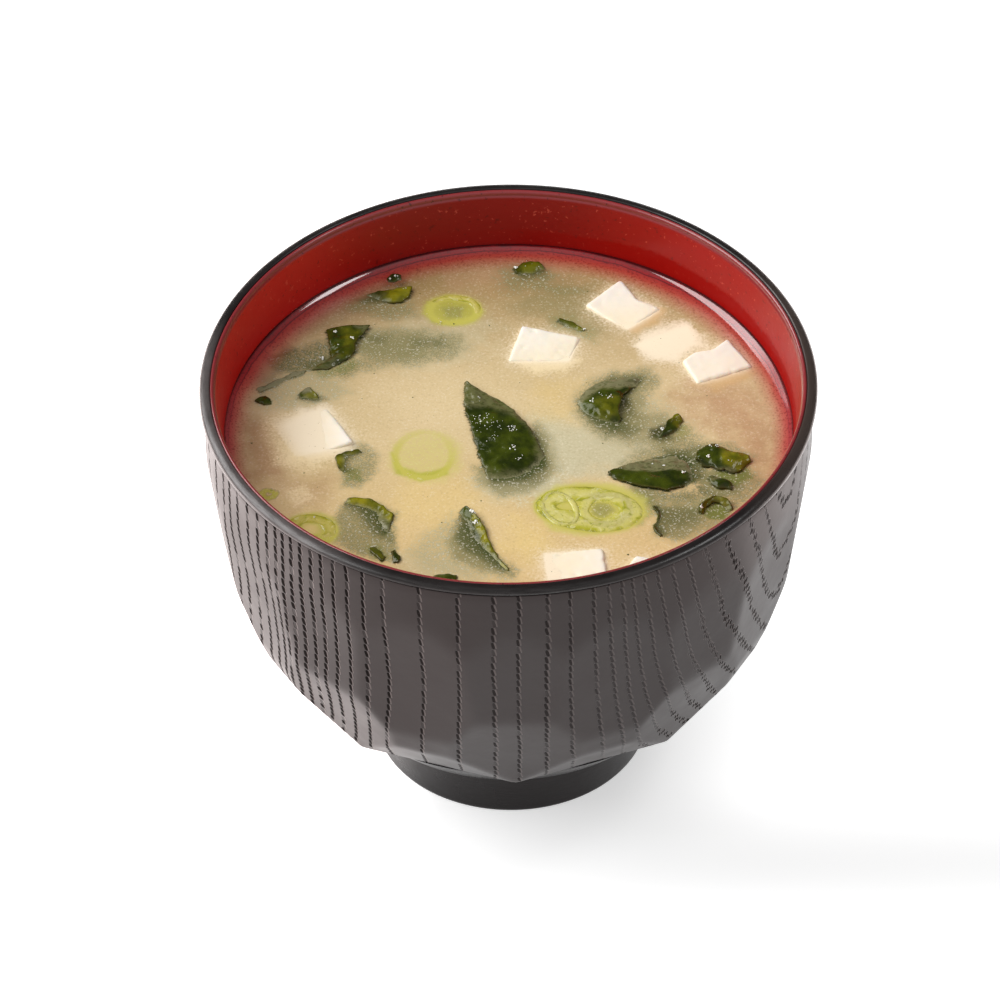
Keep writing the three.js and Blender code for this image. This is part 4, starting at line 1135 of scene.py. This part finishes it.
def tofu_block(name, outline, top, slope, depth):
    outline = points(outline)
    middle = Vector((sum(p[0] for p in outline), sum(p[1] for p in outline))) / len(outline)
    bm = bmesh.new()
    corners = [bm.verts.new((x - middle.x, y - middle.y, 0)) for x, y in outline]
    face = bm.faces.new(corners)
    side = bmesh.ops.extrude_face_region(bm, geom=[face])["geom"]
    bmesh.ops.translate(bm, vec=(0, 0, -depth),
                        verts=[g for g in side if isinstance(g, bmesh.types.BMVert)])
    bmesh.ops.recalc_face_normals(bm, faces=bm.faces)
    bmesh.ops.bevel(bm, geom=bm.edges[:], offset=0.55, offset_type="OFFSET", segments=3,
                    profile=0.5, affect="EDGES", material=-1)
    bmesh.ops.triangulate(bm, faces=bm.faces[:])
    blank = put(name + "_blank", baked(name, bm))
    modifier(blank, "REMESH", mode="VOXEL", voxel_size=0.34)
    graph = bpy.context.evaluated_depsgraph_get()
    dense = bpy.data.meshes.new_from_object(blank.evaluated_get(graph))
    bpy.data.objects.remove(blank)
    bm = bmesh.new()
    bm.from_mesh(dense)
    for _ in range(2):
        bmesh.ops.smooth_vert(bm, verts=bm.verts, factor=0.5, use_axis_x=True, use_axis_y=True,
                              use_axis_z=True)
    bm.normal_update()
    seed = Vector((middle.x, middle.y, 3.0))
    for vert in bm.verts:
        at = vert.co + seed
        soft = noise.noise(at * 0.22) * 0.10 + noise.noise(at * 0.9) * 0.05
        chip = max(0.0, noise.noise(at * 0.55) - 0.45) * 0.5
        vert.co += vert.normal * (soft - chip - 0.1)
    for vert in bm.verts:
        vert.co.z += slope[0] * vert.co.x + slope[1] * vert.co.y + LEVEL + top
        vert.co.x += middle.x
        vert.co.y += middle.y
    remember("tofu", piece(f"tofu_{name}_curd", bm, [CURD], [f"tofu_{name}"]))


def leaf(name, left, right, camber=0.35, ripple=0.12):
    left, right = points(left), points(right)
    length = sum((Vector(a) - Vector(b)).length for a, b in zip(left, left[1:]))
    width = max((Vector(a) - Vector(b)).length for a, b in zip(left, right))
    rows, columns = max(10, round(length / LEAF_CELL)), max(6, round(width / LEAF_CELL))
    bm = bmesh.new()
    bmesh.ops.create_grid(bm, x_segments=columns, y_segments=rows, size=0.5)
    seed = Vector((left[0][0], left[0][1], 0))
    rim, veil = [], []
    for vert in bm.verts:
        v, u = vert.co.x + 0.5, vert.co.y + 0.5
        a, b = along(left, u), along(right, u)
        here = a.lerp(b, v)
        span = (b - a).length
        edge, tip = min(v, 1 - v) * span, min(u, 1 - u) * length
        bulge = camber * 4 * v * (1 - v) + ripple * math.sin(9 * u + 4 * v)
        ruffle = noise.noise(here * 0.8 + seed) * 0.16 * min(1.0, span / 4)
        blister = noise.noise(here * 1.9 + seed) * 0.10
        here.z += bulge + ruffle + blister
        jag = Vector((noise.noise(here * 0.9 + seed), noise.noise(here * 0.9 - seed), 0)) * 0.45
        here += jag * (1 - smooth(0.0, 1.4, edge))
        rim.append(min(edge, tip))
        veil.append(0.9 * (1 - smooth(-0.5, 0.12, here.z)))
        here.z += LEVEL
        vert.co = here
    bm.verts.index_update()
    bmesh.ops.recalc_face_normals(bm, faces=bm.faces)
    if sum(f.normal.z for f in bm.faces) < 0:
        bmesh.ops.reverse_faces(bm, faces=bm.faces[:])
    spots = [(v.co.x, v.co.y) for v in bm.verts]
    made = piece(f"wakame_{name}_leaf", bm, [WAKAME], [f"wakame_{name}"])
    # the film attribute holds painted sheen of reflected light as well as a film of broth
    for label, values in (("rim", rim), ("veil", veil), ("lit", most_of(spots, LIT)),
                          ("film", most_of(spots, SHEEN_FILM))):
        made.data.attributes.new(label, "FLOAT", "POINT").data.foreach_set("value", values)
    modifier(made, "SOLIDIFY", thickness=0.00042, offset=0.0, use_even_offset=False)
    modifier(made, "SUBSURF", levels=1, render_levels=1)
    remember("wakame", made)


def squared(value):
    """Pushes a sine or cosine outwards, which makes a circle squarish."""
    return math.copysign(abs(value) ** 0.45, value)


def onion_slice(name, tone, rings):
    bm = bmesh.new()
    side_layer = bm.verts.layers.float.new("across")
    veil_layer = bm.verts.layers.float.new("veil")
    for number, ring in enumerate(rings):
        size, wall, thick = ring["size"], ring["wall"], ring["thick"]
        slope, turn = ring.get("slope", (0, 0)), math.radians(ring.get("turn", 0))
        steps, count = 120, 20
        turns = [2 * math.pi * k / count for k in range(count)]
        section = [(0.5 + 0.5 * squared(math.cos(a)), 0.5 * squared(math.sin(a))) for a in turns]
        verts = [bm.verts.new((1.0, 0, 0)) for _ in section]
        loop = [bm.edges.new(pair) for pair in zip(verts, verts[1:] + verts[:1])]
        bmesh.ops.spin(bm, geom=verts + loop, cent=(0, 0, 0), axis=(0, 0, 1),
                       angle=2 * math.pi * (steps - 1) / steps, steps=steps - 1, use_merge=False)
        whole = bm.verts[-count * steps:]
        for i in range(steps):
            azimuth = 2 * math.pi * i / steps
            wobble = 1 + 0.035 * noise.noise((math.cos(azimuth) * 1.3, math.sin(azimuth) * 1.3,
                                              number + tone * 9))
            thin = 1 + 0.3 * noise.noise((math.cos(azimuth) * 1.1, math.sin(azimuth) * 1.1,
                                          7 + number + tone * 5))
            for k, (s, lift) in enumerate(section):
                vert = whole[i * count + k]
                inwards = wall * thin * s
                x = (size[0] * wobble - inwards) * math.cos(azimuth)
                y = (size[1] * wobble - inwards) * math.sin(azimuth)
                grit = noise.noise((x * 0.9, y * 0.9, number * 3.0)) * 0.07
                z = -thick / 2 + lift * thick + (grit if lift > 0 else 0)
                px = x * math.cos(turn) - y * math.sin(turn)
                py = x * math.sin(turn) + y * math.cos(turn)
                height = ring["top"] + z + slope[0] * px + slope[1] * py
                vert.co = (ring["centre"][0] + px, ring["centre"][1] + py, LEVEL + height)
                vert[side_layer] = s
                vert[veil_layer] = 0.7 * (1 - smooth(-0.25, 0.1, height))
        for k in range(count):
            a, b = whole[(steps - 1) * count + k], whole[(steps - 1) * count + (k + 1) % count]
            c, d = whole[(k + 1) % count], whole[k]
            bm.faces.new((a, b, c, d))
    bmesh.ops.recalc_face_normals(bm, faces=bm.faces)
    layer = bm.verts.layers.float.new("tone")
    for vert in bm.verts:
        vert[layer] = tone
    remember("onion", piece(f"onion_{name}_slice", bm, [ONION], [f"onion_{name}"]))


for key, block in TOFU.items():
    tofu_block(key, **block)
for key, blade in LEAVES.items():
    leaf(key, **blade)
for key, slice_ in ONIONS.items():
    onion_slice(key, **slice_)

# ---- broth ----
COVERED = {"wakame": colour(66, 74, 36), "tofu": colour(254, 238, 208),
           "onion": colour(196, 188, 88)}
SHOW_DEPTH = {"wakame": 0.9, "tofu": 2.6, "onion": 1.0}


def broth():
    steps, rings = 720, 112
    edge = MEET_RADIUS + 0.06
    top = [(edge * ((rings - i) / rings) ** 0.97, LEVEL) for i in range(rings)]
    below = [(radius - 0.15, height) for radius, height in reversed(INSIDE[1:-1])]
    below = [(MEET_RADIUS - 0.05, 71.4)] + below + [(0, 13.75)]
    bm = turned([(0, LEVEL)] + list(reversed(top)) + below, steps, closed=False)
    shade = bm.verts.layers.float_color.new("shade")
    sunk = bm.verts.layers.float_color.new("sunk")
    grain = bm.verts.layers.float.new("grain")
    covered = KDTree(len(bm.verts))
    surface = [v for v in bm.verts if abs(v.co.z - LEVEL) < 1e-3]
    under_piece = {}
    forest = trees()
    tops = []
    for vert in surface:
        best = under_piece[vert] = from_above(forest, vert.co.x, vert.co.y)
        if best and best[1] > LEVEL + 0.03:
            covered.insert(vert.co, len(tops))
            tops.append(best[1] - LEVEL)
    covered.balance()
    lean = []
    for spread, number in ((0.45, 5), (1.1, 7)):
        for k in range(number):
            a = 2 * math.pi * (k + spread) / number
            lean.append(Vector((math.cos(a) * spread, math.sin(a) * spread, -1)).normalized())
    lean.append(Vector((0, 0, -1)))
    # the back colour is painted shade, where the rim shades the broth
    front, middle, back = colour(225, 197, 143), colour(222, 199, 154), colour(172, 146, 100)
    washes = {name: Vector(colour(*tint)) for name, tint in WASH.items()}
    for vert in bm.verts:
        vert[shade] = (*middle, 1)
        vert[sunk] = (0, 0, 0, 0)
    for vert in surface:
        x, y = vert.co.x, vert.co.y
        wall = edge - math.hypot(x, y)
        own = blend(front, middle, smooth(-30, 4, y))
        own = Vector(blend(own, back, smooth(8, 46, y)))
        for (name,), share in shares((x, y), CLOUDS):
            own = own.lerp(washes[name], share)
        vert[shade] = (*own, 1)
        # paint is laid over paint: tint is what covers the broth, times its cover
        tint, cover, rough = Vector((0, 0, 0)), 0.0, 0.45
        for (name,), share in shares((x, y), SUNK):
            tint = tint * (1 - share) + washes[name] * share
            cover += share * (1 - cover)
            rough += share * ((0.08 if name in CURDLIKE else 1.0) - rough)
        _, number, near = covered.find(vert.co)
        best = under_piece[vert]
        total, weight, seen = Vector((0, 0, 0)), 0.0, 0.0
        if best and best[1] > LEVEL - 0.02:
            total, weight, seen = Vector(COVERED[best[2]]), 1.0, 1.0
        elif best or near < 5.0:
            for ray in lean:
                found = first_hit(forest, vert.co, ray, 8)
                if found:
                    distance, _, kind = found
                    share = math.exp(-distance / SHOW_DEPTH[kind])
                    total += Vector(COVERED[kind]) * share
                    weight += share
                    rough += share / len(lean) * ((1.0 if kind == "wakame" else 0.0) - rough)
            seen = min(weight / len(lean) * 1.35, 1.0)
        if weight > 1e-6:
            tint = tint * (1 - seen) + total / weight * seen
            cover += seen * (1 - cover)
        if cover > 1e-6:
            tint /= cover
        vert[sunk] = (tint.x, tint.y, tint.z, cover)
        vert[grain] = rough
        lift = MENISCUS * math.exp(-wall / MENISCUS)
        if near < 4:
            lift += PIECE_RISE * smooth(0.25, 0.8, tops[number]) * math.exp(-near / 0.5)
        vert.co.z = LEVEL + lift
    piece("broth_body", bm, [BROTH], ["broth"])


broth()


# ---- grains of miso, green crumbs and white beads, painted glints ----
def pebble():
    """Corners and faces of a small round stone of radius 1."""
    bm = bmesh.new()
    bmesh.ops.create_icosphere(bm, subdivisions=1, radius=1.0)
    bm.verts.index_update()
    out = [v.co.copy() for v in bm.verts], [[v.index for v in f.verts] for f in bm.faces]
    bm.free()
    return out


def grains(name, material, spots):
    """Spots are [x, y, height, size] in millimetres, each a flattened grain turned at random."""
    corners, faces = pebble()
    bm = bmesh.new()
    for x, y, height, size in spots:
        turn = Matrix.Rotation(random.uniform(0, 6.28), 3, Vector((0, 0, 1)))
        stretch = random.uniform(0.7, 1.5), random.uniform(0.6, 1.1), 0.6
        verts = [bm.verts.new(turn @ Vector([c * k * size for c, k in zip(corner, stretch)])
                              + Vector((x, y, height))) for corner in corners]
        for face in faces:
            bm.faces.new([verts[k] for k in face])
    return piece(name, bm, [material], [])


def anywhere():
    while True:
        x, y = random.uniform(-50, 50), random.uniform(-50, 50)
        if math.hypot(x, y) < 50:
            return x, y


def scattered(count, low, high):
    out = []
    for _ in range(count):
        size = low + (high - low) * random.random() ** 2.5
        out.append((*anywhere(), LEVEL + size * 0.05, size))
    return out


# clusters of white beads on the leaves, painted glints: middle, spread, count and largest size
BEADS = [
    (-4.6, 3.4, 1.6, 22, 0.20), (-3.4, 1.2, 2.2, 22, 0.17), (-2.4, -1.4, 1.0, 8, 0.2),
    (0.7, 0.2, 0.9, 12, 0.22), (0.6, -4.9, 0.6, 9, 0.26), (1.8, -6.8, 0.9, 8, 0.16),
    (-5.6, 8.4, 0.8, 3, 0.16), (15.1, 8.4, 0.5, 7, 0.34), (18.3, 8.9, 0.8, 9, 0.26),
    (16.6, 9.6, 0.9, 4, 0.16), (28.1, 0.9, 0.32, 5, 0.42), (26, -8.8, 0.1, 1, 0.24),
    (28.1, -9.5, 0.2, 2, 0.26), (31.4, -11, 0.4, 6, 0.36), (33.8, -10.4, 0.2, 2, 0.2),
    (20, -10.6, 0.8, 3, 0.14), (36.2, -7.9, 0.3, 4, 0.40), (37.2, -5.2, 0.7, 9, 0.26),
    (40.1, -9.1, 0.3, 3, 0.22), (35.2, -4.2, 0.5, 4, 0.16), (34.5, -20.9, 0.3, 6, 0.42),
    (36.2, -17.9, 1.0, 6, 0.17), (38, -12.8, 0.4, 3, 0.18), (-31.9, 27.8, 0.3, 4, 0.34),
    (-28.6, 26, 0.3, 4, 0.30), (-31.2, 24.4, 0.2, 2, 0.20), (-34.1, 21.3, 0.4, 5, 0.36),
    (-30.9, 20.4, 0.3, 2, 0.16), (-21.8, 43.2, 0.2, 3, 0.26), (-20.7, 43.7, 0.2, 3, 0.28),
    (-18.9, 39.6, 0.4, 3, 0.14), (1.7, 46, 0.3, 6, 0.36), (4, 47, 1.4, 6, 0.16),
    (-6.7, -21.5, 0.35, 8, 0.44), (-6.2, -24.1, 0.35, 8, 0.44), (-28.5, -4.1, 0.2, 3, 0.22),
    (13.9, 28.7, 0.3, 3, 0.28), (-35.1, -22.4, 0.3, 3, 0.2), (-12.5, 31.1, 0.3, 3, 0.24),
]


def on_pieces():
    forest = trees()
    out = []
    for cx, cy, spread, count, largest in BEADS:
        for _ in range(count):
            x, y = random.gauss(cx, spread * 0.6), random.gauss(cy, spread * 0.6)
            best = from_above(forest, x, y)
            size = largest * random.uniform(0.3, 0.8)
            out.append((x, y, max(best[1] if best else LEVEL, LEVEL) + 0.22 + size * 0.15, size))
    return out


grains("miso_grains", MISO_GRAIN, scattered(3000, 0.04, 0.11))
grains("green_crumbs", GREEN_CRUMB, scattered(90, 0.06, 0.2))
grains("glint_beads", GLINT_BEAD, on_pieces())
